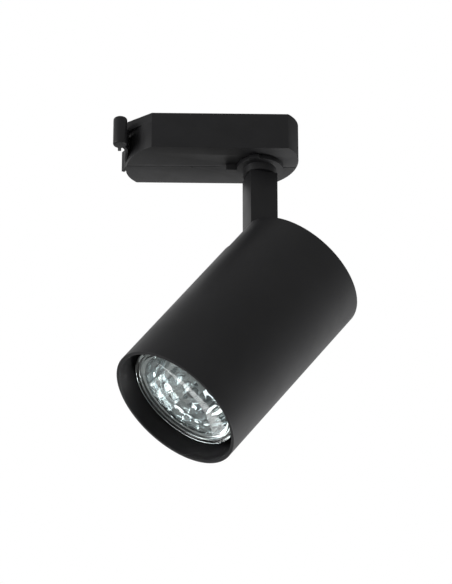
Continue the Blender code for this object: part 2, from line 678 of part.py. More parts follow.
def add_hinge():
    """The U-shaped bracket, its bolt and nut and the friction washers either side of the stem."""
    outline = [(-EAR_RADIUS, 0), (-EAR_RADIUS, -BRACKET_DROP), (EAR_RADIUS, -BRACKET_DROP)]
    outline += arc((0, 0), EAR_RADIUS, 0, math.pi, 12)[:-1]
    washer_face = STEM_SIZE / 2 + GAP
    ear_face = washer_face + WASHER_THICK + GAP
    ear_outside = ear_face + BRACKET_WALL
    bracket = side_prism("hinge_bracket", outline, ear_outside, tilt, zinc)
    cut(bracket, block("bracket_channel", (-0.02, -ear_face, -BRACKET_DROP + BRACKET_WALL), (0.02, ear_face, 0.02),
                       tilt))
    cut(bracket, rod("bracket_bolt_hole", (0, -0.02, 0), (0, 0.02, 0), BOLT_RADIUS + GAP, tilt, None,
                     SMALL_STEPS))
    lie = Matrix.Rotation(math.pi / 2, 4, "X")
    for side, name in ((-1, "friction_washer_front"), (1, "friction_washer_back")):
        middle = side * (washer_face + WASHER_THICK / 2)
        profile = ring(FRICTION_WASHER_RADIUS, BOLT_RADIUS + GAP, WASHER_THICK / 2, -WASHER_THICK / 2)
        turned(name, profile, tilt, nylon, SMALL_STEPS, Matrix.Translation((0, middle, 0)) @ lie)
    head_face = ear_outside + GAP
    bolt = [(0, head_face + 0.0022), (0.003, head_face + 0.0022), (0.0035, head_face + 0.0016),
            (0.0035, head_face), (BOLT_RADIUS, head_face), (BOLT_RADIUS, -head_face - 0.0036),
            (0, -head_face - 0.0036)]
    turned("hinge_bolt", bolt, tilt, steel, SMALL_STEPS, lie)
    nut = rod("hinge_nut", (0, head_face, 0), (0, head_face + 0.0032, 0), 0.007 / math.sqrt(3), tilt, zinc, 6)
    cut(nut, rod("hinge_nut_bore", (0, 0, 0), (0, 0.03, 0), BOLT_RADIUS + GAP, tilt, None, SMALL_STEPS))


def add_mount_plate():
    """The steel disc across the tube that carries the hinge on one side and the lamp holder on the other."""
    plate = rod("mount_plate", (0, 0, PLATE_FRONT), (0, 0, PLATE_FRONT + MOUNT_PLATE_THICK), TUBE_BORE - GAP, head,
                zinc, TUBE_STEPS)
    cut(plate, rod("lead_hole", (0.014, 0, -0.02), (0.014, 0, 0), 0.0042, head, None, SMALL_STEPS))
    base_top = -BRACKET_DROP + BRACKET_WALL
    for x, name in ((-0.0042, "bracket_screw_1"), (0.0042, "bracket_screw_2")):
        profile = [(0, base_top - GAP), (SCREW_RADIUS, base_top - GAP), (SCREW_RADIUS, PLATE_FRONT - GAP),
                   (0.0022, PLATE_FRONT - GAP), (0.0022, PLATE_FRONT - GAP - 0.0016),
                   (0, PLATE_FRONT - GAP - 0.0016)]
        turned(name, profile, tilt, zinc, SMALL_STEPS, Matrix.Translation((x, 0, 0)))
        hole = rod(name + "_hole", (x, 0, -0.02), (x, 0, 0), SCREW_RADIUS + GAP, tilt, None, SMALL_STEPS)
        cut(plate, hole)
        cut(bpy.data.objects["hinge_bracket"], hole)


def add_holder():
    """The ceramic lamp holder, its steel strap and its contact clips."""
    strap_top = PLATE_FRONT - GAP
    leg = HOLDER_RADIUS + GAP
    wall = 0.0012
    leg_end = HOLDER_BACK - 0.0075
    strap = block("holder_strap", (-0.0045, -leg - wall, leg_end), (0.0045, leg + wall, strap_top), head, zinc)
    cut(strap, block("strap_channel", (-0.02, -leg, leg_end - 0.01), (0.02, leg, strap_top - wall), head))
    holder = rod("lamp_holder", (0, 0, HOLDER_FRONT), (0, 0, HOLDER_BACK), HOLDER_RADIUS, head, ceramic)
    screw_z = HOLDER_BACK - 0.0035
    lie = Matrix.Rotation(-math.pi / 2, 4, "X")
    for side, name in ((-1, "holder_screw_1"), (1, "holder_screw_2")):
        seat = leg + wall + GAP
        profile = [(0, 0.0014), (0.0022, 0.0014), (0.0022, 0), (SCREW_RADIUS, 0), (SCREW_RADIUS, -0.0048),
                   (0, -0.0048)]
        place = Matrix.Translation((0, side * seat, screw_z)) @ (lie if side > 0 else lie.inverted())
        turned(name, profile, head, zinc, SMALL_STEPS, place)
        hole = rod(name + "_hole", (0, side * (HOLDER_RADIUS - 0.004), screw_z), (0, side * 0.02, screw_z),
                   SCREW_RADIUS + GAP, head, None, SMALL_STEPS)
        cut(holder, hole)
        cut(strap, hole)
    slot_top = HOLDER_FRONT + PIN_LENGTH + 0.002
    for side, name in ((1, "a"), (-1, "b")):
        slot = prism(f"pin_slot_{name}", pin_slot(side), HOLDER_FRONT - 0.001, slot_top, head)
        way = rod(f"clip_way_{name}", (side * PIN_SPACING / 2, 0, slot_top - 0.001),
                  (side * PIN_SPACING / 2, 0, HOLDER_BACK + 0.001), 0.0009 + GAP, head, None, SMALL_STEPS)
        cut(holder, slot, way)
        clip_low = BASE_END + PIN_LENGTH + GAP
        clip = rod(f"holder_clip_{name}", (side * PIN_SPACING / 2, 0, clip_low),
                   (side * PIN_SPACING / 2, 0, clip_low + 0.0008), 0.0022, head, brass, SMALL_STEPS)
        stalk = rod(f"clip_stalk_{name}", (side * PIN_SPACING / 2, 0, clip_low + 0.0004),
                    (side * PIN_SPACING / 2, 0, HOLDER_BACK + 0.0008), 0.0009, head, None, SMALL_STEPS)
        join(clip, stalk)


def pin_slot(side):
    """The curved slot that a lamp pin turns along."""
    middle = PIN_SPACING / 2
    half = PIN_HEAD_RADIUS + 0.0004
    turn = math.pi if side < 0 else 0
    ends = [turn - TWIST - math.radians(1), turn + math.radians(1)]
    outer = arc((0, 0), middle + half, ends[0], ends[1], 6)
    inner = arc((0, 0), middle - half, ends[1], ends[0], 6)
    far_end = (middle * math.cos(ends[1]), middle * math.sin(ends[1]))
    near_end = (middle * math.cos(ends[0]), middle * math.sin(ends[0]))
    return (outer + arc(far_end, half, ends[1], ends[1] + math.pi, 8)[1:-1] + inner
            + arc(near_end, half, ends[0] + math.pi, ends[0] + 2 * math.pi, 8)[1:-1])


def add_head_leads():
    """Leads from the holder's clips and the earthed plate, through the plate's hole, to beside the stem."""
    back = HOLDER_BACK + 0.0008 + GAP + WIRE_RADIUS
    half = PIN_SPACING / 2
    end_x = 0.0098 - AXIS_OFFSET
    wire("head_lead_line", ((half, -0.0002, back), (0.0105, -0.001, back), (0.0135, -0.0018, back + 0.002),
                            (0.0135, -0.0018, -0.006), (0.006, -0.0019, -0.001), (end_x, -0.0019, 0.0035)),
         head, brown_wire)
    wire("head_lead_neutral", ((-half, 0.0002, back), (0.0, 0.0024, back), (0.0105, 0.0022, back),
                               (0.0140, 0.0018, back + 0.002), (0.0140, 0.0018, -0.006), (0.006, 0.0019, -0.001),
                               (end_x, 0.0019, 0.0035)), head, blue_wire)
    seat = PLATE_FRONT + MOUNT_PLATE_THICK + GAP
    rod("earth_screw", (0.021, 0.006, seat), (0.021, 0.006, seat + 0.003), 0.0022, head, brass, SMALL_STEPS)
    wire("head_lead_earth", ((0.0178, 0.0053, seat + 0.0016), (0.0150, 0.0045, seat + 0.0037),
                             (0.0098, 0.0042, -0.0012), (0.003, 0.0035, 0.002), (end_x, 0.0040, 0.0062)),
         head, earth_wire)


def bowl_height(radius):
    """Height of the reflector's inner face at a radius, counted from the front glass's back."""
    depth = BOWL_DEPTH * (BOWL_RADIUS ** 2 - radius ** 2) / (BOWL_RADIUS ** 2 - BOWL_OPENING ** 2)
    return LAMP_FRONT + GLASS_THICK + GAP + depth


def add_lamp():
    """The reflector lamp: front glass, pressed-glass reflector, quartz capsule, ceramic base and two pins."""
    edge = 0.0005
    front, back = LAMP_FRONT, LAMP_FRONT + GLASS_THICK
    turned("lamp_glass", [(0, back), (LAMP_RADIUS, back), (LAMP_RADIUS, front + edge), (LAMP_RADIUS - edge, front),
                          (0, front)], lamp, glass)
    count = 6
    radii = [BOWL_OPENING + (BOWL_RADIUS - BOWL_OPENING) * i / count for i in range(count + 1)]
    inner = [(radius, bowl_height(radius)) for radius in radii]
    outer = [(radius + BOWL_WALL, height + BOWL_WALL / 2) for radius, height in inner[:-1]]
    rim_low = back + GAP
    outer += [(BOWL_RADIUS + BOWL_WALL, rim_low + RIM_HEIGHT), (LAMP_RADIUS - 0.0004, rim_low + RIM_HEIGHT),
              (LAMP_RADIUS - 0.0004, rim_low)]
    turned("lamp_reflector", outer + inner[::-1], lamp, mirror_glass)
    base_low = bowl_height(BOWL_OPENING) + BOWL_WALL / 2 + GAP
    pocket = CAPSULE_RADIUS + 0.0005
    capsule_end = base_low + 0.0065
    pocket_top = capsule_end + 0.001
    profile = [(0, BASE_END), (BASE_RADIUS - 0.0015, BASE_END), (BASE_RADIUS, BASE_END - 0.002),
               (BASE_RADIUS, base_low + 0.004), (BOWL_OPENING + BOWL_WALL, base_low), (pocket, base_low),
               (pocket, pocket_top), (0, pocket_top)]
    turned("lamp_base", profile, lamp, ceramic)
    tip = capsule_end - CAPSULE_LENGTH
    outside = [(CAPSULE_RADIUS, capsule_end)] + dome(CAPSULE_RADIUS, tip)
    bore = CAPSULE_RADIUS - CAPSULE_WALL
    inside = dome(bore, tip + CAPSULE_WALL)[::-1] + [(bore, capsule_end)]
    turned("lamp_capsule", outside + inside, lamp, glass, SMALL_STEPS)
    tube_along("lamp_filament", filament_path(tip), lamp, tungsten, 0.00025)
    for side, name in ((1, "lamp_pin_a"), (-1, "lamp_pin_b")):
        low, high = BASE_END + GAP, BASE_END + PIN_LENGTH
        profile = [(0, high), (PIN_HEAD_RADIUS - 0.0004, high), (PIN_HEAD_RADIUS, high - 0.0004),
                   (PIN_HEAD_RADIUS, high - PIN_HEAD), (PIN_RADIUS, high - PIN_HEAD), (PIN_RADIUS, low), (0, low)]
        turned(name, profile, lamp, zinc, SMALL_STEPS, Matrix.Translation((side * PIN_SPACING / 2, 0, 0)))


def dome(radius, tip, count=4):
    """Profile points of a half ball that ends on the axis at the height tip."""
    return [
        (radius * math.cos(math.pi / 2 * i / count) if i < count else 0.0,
         tip + radius - radius * math.sin(math.pi / 2 * i / count))
        for i in range(count + 1)
    ]


def filament_path(tip):
    """A loop of coiled filament, drawn as its outline inside the capsule."""
    reach = 0.0022
    legs = tip + 0.018
    top = tip + 0.006
    half = [(reach, 0, legs), (reach, 0, top + 0.002), (reach / 2, 0, top)]
    return half + [(-x, 0, z) for x, y, z in reversed(half)]


clear_scene()
parts = collection("track_spotlight")
cutters = collection("cutters")

black_plastic = look("black moulded plastic", (0.018, 0.018, 0.019), 0.5)
black_coat = look("black powder coat", (0.02, 0.02, 0.021), 0.55)
grey_plastic = look("grey moulded plastic", (0.1, 0.1, 0.1), 0.5)
zinc = look("zinc-plated steel", (0.6, 0.61, 0.63), 0.35, 1.0)
steel = look("bright steel", (0.56, 0.57, 0.58), 0.25, 1.0)
spring_steel = look("spring steel", (0.4, 0.4, 0.42), 0.3, 1.0)
brass = look("brass", (0.75, 0.58, 0.28), 0.3, 1.0)
ceramic = look("glazed ceramic", (0.85, 0.84, 0.8), 0.3)
nylon = look("white nylon", (0.8, 0.8, 0.78), 0.45)
glass = look("clear glass", (0.9, 0.95, 0.94), 0.05)
mirror_glass = look("mirror-coated glass", (0.85, 0.87, 0.88), 0.08, 1.0)
tungsten = look("tungsten", (0.3, 0.3, 0.3), 0.4, 1.0)
brown_wire = look("brown lead", (0.16, 0.07, 0.03), 0.5)
blue_wire = look("blue lead", (0.03, 0.12, 0.4), 0.5)
earth_wire = look("green and yellow lead", (0.35, 0.5, 0.05), 0.5)

lever_axis = axis_empty("lever_axis", (*LEVER_PIVOT, 0), (0, 0, 0))
slide_axis = axis_empty("slide_axis", (0, 0, 0), (0, 0, 0))
pan = axis_empty("pan_axis", (0, 0, 0), (0, 0, PAN))
tilt = axis_empty("tilt_axis", (0, 0, -PIVOT_DROP), (0, TILT, 0), pan)
head = axis_empty("head_axis", (AXIS_OFFSET, 0, 0), (0, 0, 0), tilt)
lamp = axis_empty("lamp_axis", (AXIS_OFFSET, 0, 0), (0, 0, 0), tilt)

add_shells()
add_track_insert()
add_contacts()
add_lever()
add_lock_slide()
add_terminal_block()
add_adapter_leads()
add_swivel()
add_stem()
add_tube()
add_hinge()
add_mount_plate()
add_holder()
add_head_leads()
add_lamp()
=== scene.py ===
"""Track spotlight: the looks of each piece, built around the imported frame. Metres, +Z up."""

import json
import math

import bmesh
import bpy
from mathutils import Matrix, Vector


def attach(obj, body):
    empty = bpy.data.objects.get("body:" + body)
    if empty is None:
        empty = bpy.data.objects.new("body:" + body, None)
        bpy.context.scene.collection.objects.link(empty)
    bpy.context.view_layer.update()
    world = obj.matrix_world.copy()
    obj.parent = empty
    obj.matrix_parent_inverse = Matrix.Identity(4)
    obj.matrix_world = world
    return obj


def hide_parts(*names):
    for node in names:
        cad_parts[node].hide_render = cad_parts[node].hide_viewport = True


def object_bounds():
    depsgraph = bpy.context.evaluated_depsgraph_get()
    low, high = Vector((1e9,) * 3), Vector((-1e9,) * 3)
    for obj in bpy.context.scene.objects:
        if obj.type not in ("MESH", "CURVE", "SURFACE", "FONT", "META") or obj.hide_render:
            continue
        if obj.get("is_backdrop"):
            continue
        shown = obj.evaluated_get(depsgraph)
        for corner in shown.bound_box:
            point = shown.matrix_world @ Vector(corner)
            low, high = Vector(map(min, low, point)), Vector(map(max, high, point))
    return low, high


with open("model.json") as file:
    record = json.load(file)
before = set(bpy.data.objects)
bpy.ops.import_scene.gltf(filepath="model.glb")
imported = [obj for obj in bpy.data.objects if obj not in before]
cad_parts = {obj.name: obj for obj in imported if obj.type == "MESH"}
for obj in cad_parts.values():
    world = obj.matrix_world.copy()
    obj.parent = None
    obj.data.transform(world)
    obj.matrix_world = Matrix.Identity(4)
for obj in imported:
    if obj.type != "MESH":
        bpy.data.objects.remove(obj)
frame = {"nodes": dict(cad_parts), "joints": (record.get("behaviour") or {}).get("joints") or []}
cad_low, cad_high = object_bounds()

# Studio ---------------------------------------------------------------------------------------------------
# The spotlight hangs in an empty white room, darker behind the camera, with two soft panels and two dark
# cards. The camera looks up from the front through a long lens. Rays that pass through glass meet bright
# bars and not the room, so part of the streaks in the lamp are the studio's and not its own.


def srgb(code):
    """A hex colour as the linear values that a shader takes."""
    values = [int(code[i : i + 2], 16) / 255 for i in (0, 2, 4)]
    return [v / 12.92 if v <= 0.04045 else ((v + 0.055) / 1.055) ** 2.4 for v in values] + [1.0]


def add_node(tree, kind, values=(), links=(), **settings):
    """A node with its settings, its sockets' values, and what is linked into its sockets."""
    made = tree.nodes.new(kind)
    for key, value in settings.items():
        setattr(made, key, value)
    for socket, value in values:
        made.inputs[socket].default_value = value
    for socket, source in links:
        tree.links.new(source, made.inputs[socket])
    return made


LENS_LENGTH = 202.34
CAMERA_PLACE = (-0.03927, -1.22272, -0.73331)
CAMERA_PITCH, CAMERA_YAW = 28.153, -1.155
camera_data = bpy.data.cameras.new("camera")
camera_data.lens = LENS_LENGTH
camera_data.sensor_width = 36
camera_data.clip_end = 20
camera = bpy.data.objects.new("camera", camera_data)
camera.location = CAMERA_PLACE
camera.rotation_euler = (math.radians(90 + CAMERA_PITCH), 0, math.radians(CAMERA_YAW))
bpy.context.scene.collection.objects.link(camera)
bpy.context.scene.camera = camera
bpy.context.scene.view_settings.view_transform = "Standard"

WHITE_WALL = 1.0
FRONT_WALL = 0.38
BAR_COUNT = 0.9
BAR_DARK, BAR_BRIGHT = 0.22, 3.6
DARK_CARDS = (((0.42, 0.6, 0.68), 0.05), ((-0.65, 0.65, -0.4), 0.3))
room = bpy.data.worlds.new("white room")
room.use_nodes = True
bpy.context.scene.world = room
tree = room.node_tree
tree.nodes.clear()
direction = add_node(tree, "ShaderNodeTexCoord")
parts = add_node(tree, "ShaderNodeSeparateXYZ", links=[(0, direction.outputs["Generated"])])
depth = add_node(
    tree,
    "ShaderNodeMapRange",
    values=[("From Min", -0.02), ("From Max", 0.7), ("To Min", FRONT_WALL), ("To Max", WHITE_WALL)],
    links=[("Value", parts.outputs["Y"])],
    interpolation_type="SMOOTHSTEP",
)
strength = depth
for aim, dark in DARK_CARDS:
    towards = add_node(
        tree,
        "ShaderNodeVectorMath",
        values=[(1, Vector(aim).normalized())],
        links=[(0, direction.outputs["Generated"])],
        operation="DOT_PRODUCT",
    )
    card = add_node(
        tree,
        "ShaderNodeMapRange",
        values=[("From Min", 0.82), ("From Max", 0.97), ("To Min", 1.0), ("To Max", dark)],
        links=[("Value", towards.outputs["Value"])],
        interpolation_type="SMOOTHSTEP",
    )
    strength = add_node(
        tree, "ShaderNodeMath", links=[(0, strength.outputs[0]), (1, card.outputs[0])], operation="MULTIPLY"
    )
lit = add_node(tree, "ShaderNodeBackground", links=[("Strength", strength.outputs[0])])
seen = add_node(tree, "ShaderNodeBackground", values=[("Color", (1, 1, 1, 1)), ("Strength", 1.0)])
path = add_node(tree, "ShaderNodeLightPath")
around = add_node(
    tree,
    "ShaderNodeMapping",
    values=[("Rotation", (0.35, 0.5, 0.9))],
    links=[(0, direction.outputs["Generated"])],
)
bars = add_node(
    tree,
    "ShaderNodeTexWave",
    values=[("Scale", BAR_COUNT), ("Distortion", 0.6)],
    links=[(0, around.outputs[0])],
)
edges = add_node(tree, "ShaderNodeValToRGB", links=[(0, bars.outputs["Fac"])])
edges.color_ramp.elements[0].position, edges.color_ramp.elements[1].position = 0.56, 0.64
edges.color_ramp.elements[0].color, edges.color_ramp.elements[1].color = srgb("7E8A8F"), srgb("FFFFFF")
glass_light = add_node(
    tree,
    "ShaderNodeMapRange",
    values=[("From Min", 0.5), ("From Max", 0.7), ("To Min", BAR_DARK), ("To Max", BAR_BRIGHT)],
    links=[(0, bars.outputs["Fac"])],
)
through = add_node(
    tree, "ShaderNodeBackground", links=[("Color", edges.outputs[0]), ("Strength", glass_light.outputs[0])]
)
inner = add_node(
    tree,
    "ShaderNodeMixShader",
    links=[(0, path.outputs["Is Transmission Ray"]), (1, lit.outputs[0]), (2, through.outputs[0])],
)
both = add_node(
    tree,
    "ShaderNodeMixShader",
    links=[(0, path.outputs["Is Camera Ray"]), (1, inner.outputs[0]), (2, seen.outputs[0])],
)
add_node(tree, "ShaderNodeOutputWorld", links=[("Surface", both.outputs[0])])


def panel(name, place, aim, size, power):
    """A rectangular soft light."""
    data = bpy.data.lights.new(name, "AREA")
    data.shape = "RECTANGLE"
    data.size, data.size_y = size
    data.energy = power
    made = bpy.data.objects.new(name, data)
    made.location = place
    made.rotation_euler = (Vector(aim) - Vector(place)).to_track_quat("-Z", "Y").to_euler()
    bpy.context.scene.collection.objects.link(made)


middle = (cad_low + cad_high) / 2
panel("left_panel", (-1.0, -0.35, -0.15), middle, (0.5, 0.9), 4)
panel("right_panel", (0.75, 0.6, -1.15), middle, (0.5, 0.9), 15)

floor_mesh = bpy.data.meshes.new("floor")
source = bmesh.new()
bmesh.ops.create_grid(source, x_segments=8, y_segments=8, size=4, matrix=Matrix.Translation((0, 0, -1.5)))
source.to_mesh(floor_mesh)
source.free()
floor_paint = bpy.data.materials.new("pale floor paint")
floor_paint.use_nodes = True
tree = floor_paint.node_tree
shader = tree.nodes["Principled BSDF"]
shader.inputs["Roughness"].default_value = 0.7
where = add_node(tree, "ShaderNodeTexCoord")
cloud = add_node(
    tree, "ShaderNodeTexNoise", values=[("Scale", 3.0), ("Detail", 4.0)], links=[(0, where.outputs["Object"])]
)
tint = add_node(tree, "ShaderNodeValToRGB", links=[(0, cloud.outputs[0])])
tint.color_ramp.elements[0].color = srgb("DADAD8")
tint.color_ramp.elements[1].color = srgb("E8E8E6")
tree.links.new(tint.outputs[0], shader.inputs["Base Color"])
floor_mesh.materials.append(floor_paint)
floor = bpy.data.objects.new("floor", floor_mesh)
bpy.context.scene.collection.objects.link(floor)
floor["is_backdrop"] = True

# Adapter housing ------------------------------------------------------------------------------------------
# Two half shells moulded in black glass-filled nylon, screwed together across the seam along the underside.
# The mould was spark-eroded, which leaves a fine even grain. The ends are flat arcs, and the top band is cut
# straight.

SHELL_WALL = 0.0018
SEAM = 0.0003
CREST = 0.0045
BIG_CORNER = 0.0111
SMALL_CORNER = 0.0047
BAND_HEIGHT = 0.0043
BAND_FLAT = 0.0117
BAND_EASE = 0.0005
ARC_STEPS = 28


def material(name, colour, roughness, metallic=0.0, **sockets):
    """A new material whose even values are on its shader."""
    made = bpy.data.materials.new(name)
    made.use_nodes = True
    shader = made.node_tree.nodes["Principled BSDF"]
    shader.inputs["Base Color"].default_value = srgb(colour)
    shader.inputs["Roughness"].default_value = roughness
    shader.inputs["Metallic"].default_value = metallic
    for socket, value in sockets.items():
        shader.inputs[socket.replace("_", " ")].default_value = value
    return made


def grain(made, size, height, detail=3.0):
    """Fine bumps of a real size and height in metres, on a piece's own coordinates."""
    tree = made.node_tree
    shader = tree.nodes["Principled BSDF"]
    where = add_node(tree, "ShaderNodeTexCoord")
    bumps = add_node(
        tree,
        "ShaderNodeTexNoise",
        values=[("Scale", 1 / size), ("Detail", detail)],
        links=[(0, where.outputs["Object"])],
    )
    relief = add_node(
        tree,
        "ShaderNodeBump",
        values=[("Distance", height), ("Strength", 1.0)],
        links=[("Height", bumps.outputs[0])],
    )
    tree.links.new(relief.outputs[0], shader.inputs["Normal"])
    return where


def vary(made, socket, size, low, high):
    """Lets a value, or a colour, wander between two others over patches of a real size."""
    tree = made.node_tree
    where = add_node(tree, "ShaderNodeTexCoord")
    patches = add_node(
        tree,
        "ShaderNodeTexNoise",
        values=[("Scale", 1 / size), ("Detail", 5.0)],
        links=[(0, where.outputs["Object"])],
    )
    if socket == "Base Color":
        ramp = add_node(tree, "ShaderNodeValToRGB", links=[(0, patches.outputs[0])])
        ramp.color_ramp.elements[0].position, ramp.color_ramp.elements[1].position = 0.3, 0.7
        ramp.color_ramp.elements[0].color, ramp.color_ramp.elements[1].color = srgb(low), srgb(high)
    else:
        ramp = add_node(
            tree,
            "ShaderNodeMapRange",
            values=[("From Min", 0.3), ("From Max", 0.7), ("To Min", low), ("To Max", high)],
            links=[(0, patches.outputs[0])],
        )
    tree.links.new(ramp.outputs[0], tree.nodes["Principled BSDF"].inputs[socket])


moulded_nylon = material("black moulded nylon", "1B1B1C", 0.5, Specular_IOR_Level=0.5)
grain(moulded_nylon, 0.00035, 0.000012)
vary(moulded_nylon, "Roughness", 0.006, 0.44, 0.54)
vary(moulded_nylon, "Base Color", 0.009, "1E1E20", "252527")


def span(node, place=Matrix()):
    """Lowest and highest corners of a node of the frame, as seen from a place."""
    back = place.inverted()
    points = [back @ v.co for v in frame["nodes"][node].data.vertices]
    return [Vector([pick(p[i] for p in points) for i in range(3)]) for pick in (min, max)]


def prism(outline, low, high):
    """A closed outline of (x, y) points, filled and extruded from low to high."""
    made = bmesh.new()
    face = made.faces.new([made.verts.new((x, y, low)) for x, y in outline])
    raised = bmesh.ops.extrude_face_region(made, geom=[face])["geom"]
    top = [v for v in raised if isinstance(v, bmesh.types.BMVert)]
    bmesh.ops.translate(made, verts=top, vec=(0, 0, high - low))
    bmesh.ops.recalc_face_normals(made, faces=made.faces)
    return made


def box(low, high):
    """A block between two corners."""
    low, high = Vector(low), Vector(high)
    made = bmesh.new()
    place = Matrix.Translation((low + high) / 2) @ Matrix.Diagonal((*(high - low), 1))
    bmesh.ops.create_cube(made, size=1, matrix=place)
    return made


def post(start, end, radius, sides=48):
    """A round post between two points."""
    start, end = Vector(start), Vector(end)
    along = end - start
    place = Matrix.Translation((start + end) / 2) @ along.to_track_quat("Z", "Y").to_matrix().to_4x4()
    made = bmesh.new()
    bmesh.ops.create_cone(
        made,
        cap_ends=True,
        segments=sides,
        radius1=radius,
        radius2=radius,
        depth=along.length,
        matrix=place,
    )
    return made


def solid(source):
    """A hidden object of a bmesh, for joining and cutting."""
    mesh = bpy.data.meshes.new("blank")
    source.to_mesh(mesh)
    source.free()
    made = bpy.data.objects.new("blank", mesh)
    bpy.context.scene.collection.objects.link(made)
    return made


def carved(source, joined=(), cut=()):
    """The bmesh of a solid with others joined to it and then cut from it."""
    blank = solid(source)
    helpers = []
    for operation, others in (("UNION", joined), ("DIFFERENCE", cut)):
        for other in others:
            helper = solid(other)
            helpers.append(helper)
            change = blank.modifiers.new("change", "BOOLEAN")
            change.operation = operation
            change.solver = "EXACT"
            change.object = helper
    bpy.context.view_layer.update()
    made = bmesh.new()
    made.from_mesh(blank.evaluated_get(bpy.context.evaluated_depsgraph_get()).to_mesh())
    for helper in (blank, *helpers):
        bpy.data.objects.remove(helper)
    bmesh.ops.remove_doubles(made, verts=made.verts, dist=1e-7)
    bmesh.ops.dissolve_limit(made, angle_limit=math.radians(0.5), verts=made.verts, edges=made.edges)
    return made


def eased(source, width, steps=3, corner=32):
    """Rounds every edge that is sharper than a corner angle."""
    limit = math.radians(corner)
    sharp = [e for e in source.edges if len(e.link_faces) == 2 and e.calc_face_angle(0) > limit]
    bmesh.ops.bevel(
        source, geom=sharp, offset=width, segments=steps, profile=0.5, affect="EDGES", material=-1,
        clamp_overlap=True
    )
    return source


def piece(name, source, finish, body, nodes=(), place=None, crease=40):
    """Makes a piece of a bmesh. It rides on a body and stands for nodes of the frame."""
    if place:
        bmesh.ops.transform(source, matrix=place, verts=source.verts)
    mesh = bpy.data.meshes.new(name)
    source.to_mesh(mesh)
    source.free()
    mesh.materials.append(finish)
    mesh.shade_smooth()
    mesh.set_sharp_from_angle(angle=math.radians(crease))
    made = bpy.data.objects.new(name, mesh)
    bpy.context.scene.collection.objects.link(made)
    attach(made, body)
    if nodes:
        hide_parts(*nodes)
    return made


front_low, front_high = span("adapter_front_shell")
back_low, back_high = span("adapter_back_shell")
LEFT, RIGHT = front_low.x, front_high.x
HALF_WIDTH = back_high.y
UNDERSIDE = back_low.z
FLOOR = UNDERSIDE + SHELL_WALL
SEAM_Y = (front_high.y + back_low.y) / 2


def end_points(corner, rise, inset, straight):
    """Points (back, side) from an end's crest to a long side, on its arc or the band's straight cut."""
    if straight:
        return [(inset, 0), (inset + BAND_EASE, BAND_FLAT), (corner, rise - inset)]
    radius = (corner ** 2 + rise ** 2) / (2 * corner) - inset
    sweep = math.asin((rise - inset) / radius)
    turns = [sweep * i / ARC_STEPS for i in range(ARC_STEPS + 1)]
    return [(inset + radius * (1 - math.cos(turn)), radius * math.sin(turn)) for turn in turns]


def plan(inset=0.0, band=False):
    """The adapter's outline seen from above. One end is the other, turned half round."""
    big = end_points(BIG_CORNER, HALF_WIDTH + CREST, inset, band)
    small = end_points(SMALL_CORNER, HALF_WIDTH - CREST, inset, False)
    half = [(RIGHT - back, -CREST - side) for back, side in reversed(small)]
    half += [(RIGHT - back, side - CREST) for back, side in big[1:]]
    return half + [(RIGHT + LEFT - x, -y) for x, y in half]


BOSS_X = (-0.044, -0.0118)
BOSS_Z = -0.0085
BOSS_RADIUS = 0.0029
SCREW_WAY = 0.00155
HEAD_WAY = 0.0025
SWIVEL_HOLE = 0.0071
LUG_X = -0.0123
LUG_HALF = 0.00225
LUG_DEPTH = 0.0016
DIMPLE_X = -0.0292
WINDOW_LOW = (LEFT - 0.001, -0.0032, -0.0148)
WINDOW_HIGH = (-0.0515, 0.0130, -0.0046)
FAR = 0.1
for side, node in ((-1, "adapter_front_shell"), (1, "adapter_back_shell")):
    face = SEAM_Y + side * SEAM / 2
    away = (-FAR, face, -FAR), (FAR, FAR, FAR)
    toward = (-FAR, -FAR, -FAR), (FAR, face, FAR)
    outer = prism(plan(), UNDERSIDE, -BAND_HEIGHT)
    inside = prism(plan(SHELL_WALL), FLOOR, 0.001)
    joined = [prism(plan(band=True), -BAND_HEIGHT, 0)]
    bosses, bores = [], [post((0, 0, UNDERSIDE - 0.01), (0, 0, FLOOR + 0.01), SWIVEL_HOLE, 96)]
    for x in BOSS_X:
        bosses.append(post((x, side * (HALF_WIDTH - 0.001), BOSS_Z), (x, face, BOSS_Z), BOSS_RADIUS))
        end = -(HALF_WIDTH - 0.0025) if side < 0 else HALF_WIDTH + 0.001
        bores.append(post((x, face - side * 0.001, BOSS_Z), (x, end, BOSS_Z), SCREW_WAY))
        if side > 0:
            bores.append(post((x, HALF_WIDTH - 0.0026, BOSS_Z), (x, HALF_WIDTH + 0.001, BOSS_Z), HEAD_WAY))
    shell = carved(outer, joined, [inside, box(*(away if side < 0 else toward))])
    if side < 0:
        lug_low = (LUG_X - LUG_HALF, face - LUG_DEPTH, front_low.z)
        bosses.append(box(lug_low, (LUG_X + LUG_HALF, face, UNDERSIDE + 0.001)))
    else:
        dimple = (DIMPLE_X, face, UNDERSIDE - 0.001), (DIMPLE_X, face, UNDERSIDE + 0.0004)
        bores.append(post(*dimple, 0.0005, 24))
    bores.append(box(WINDOW_LOW, WINDOW_HIGH))
    shell = carved(shell, bosses, bores)
    name = node.replace("adapter_", "housing_")
    piece(name, eased(shell, 0.0003), moulded_nylon, "adapter", [node])

# Finger lever ---------------------------------------------------------------------------------------------
# A C-shaped grip moulded in the same nylon, with a round roll that a fingertip hooks behind. It pivots on a
# pin in the housing, and a peg on its inner arm pulls the lock slide back.

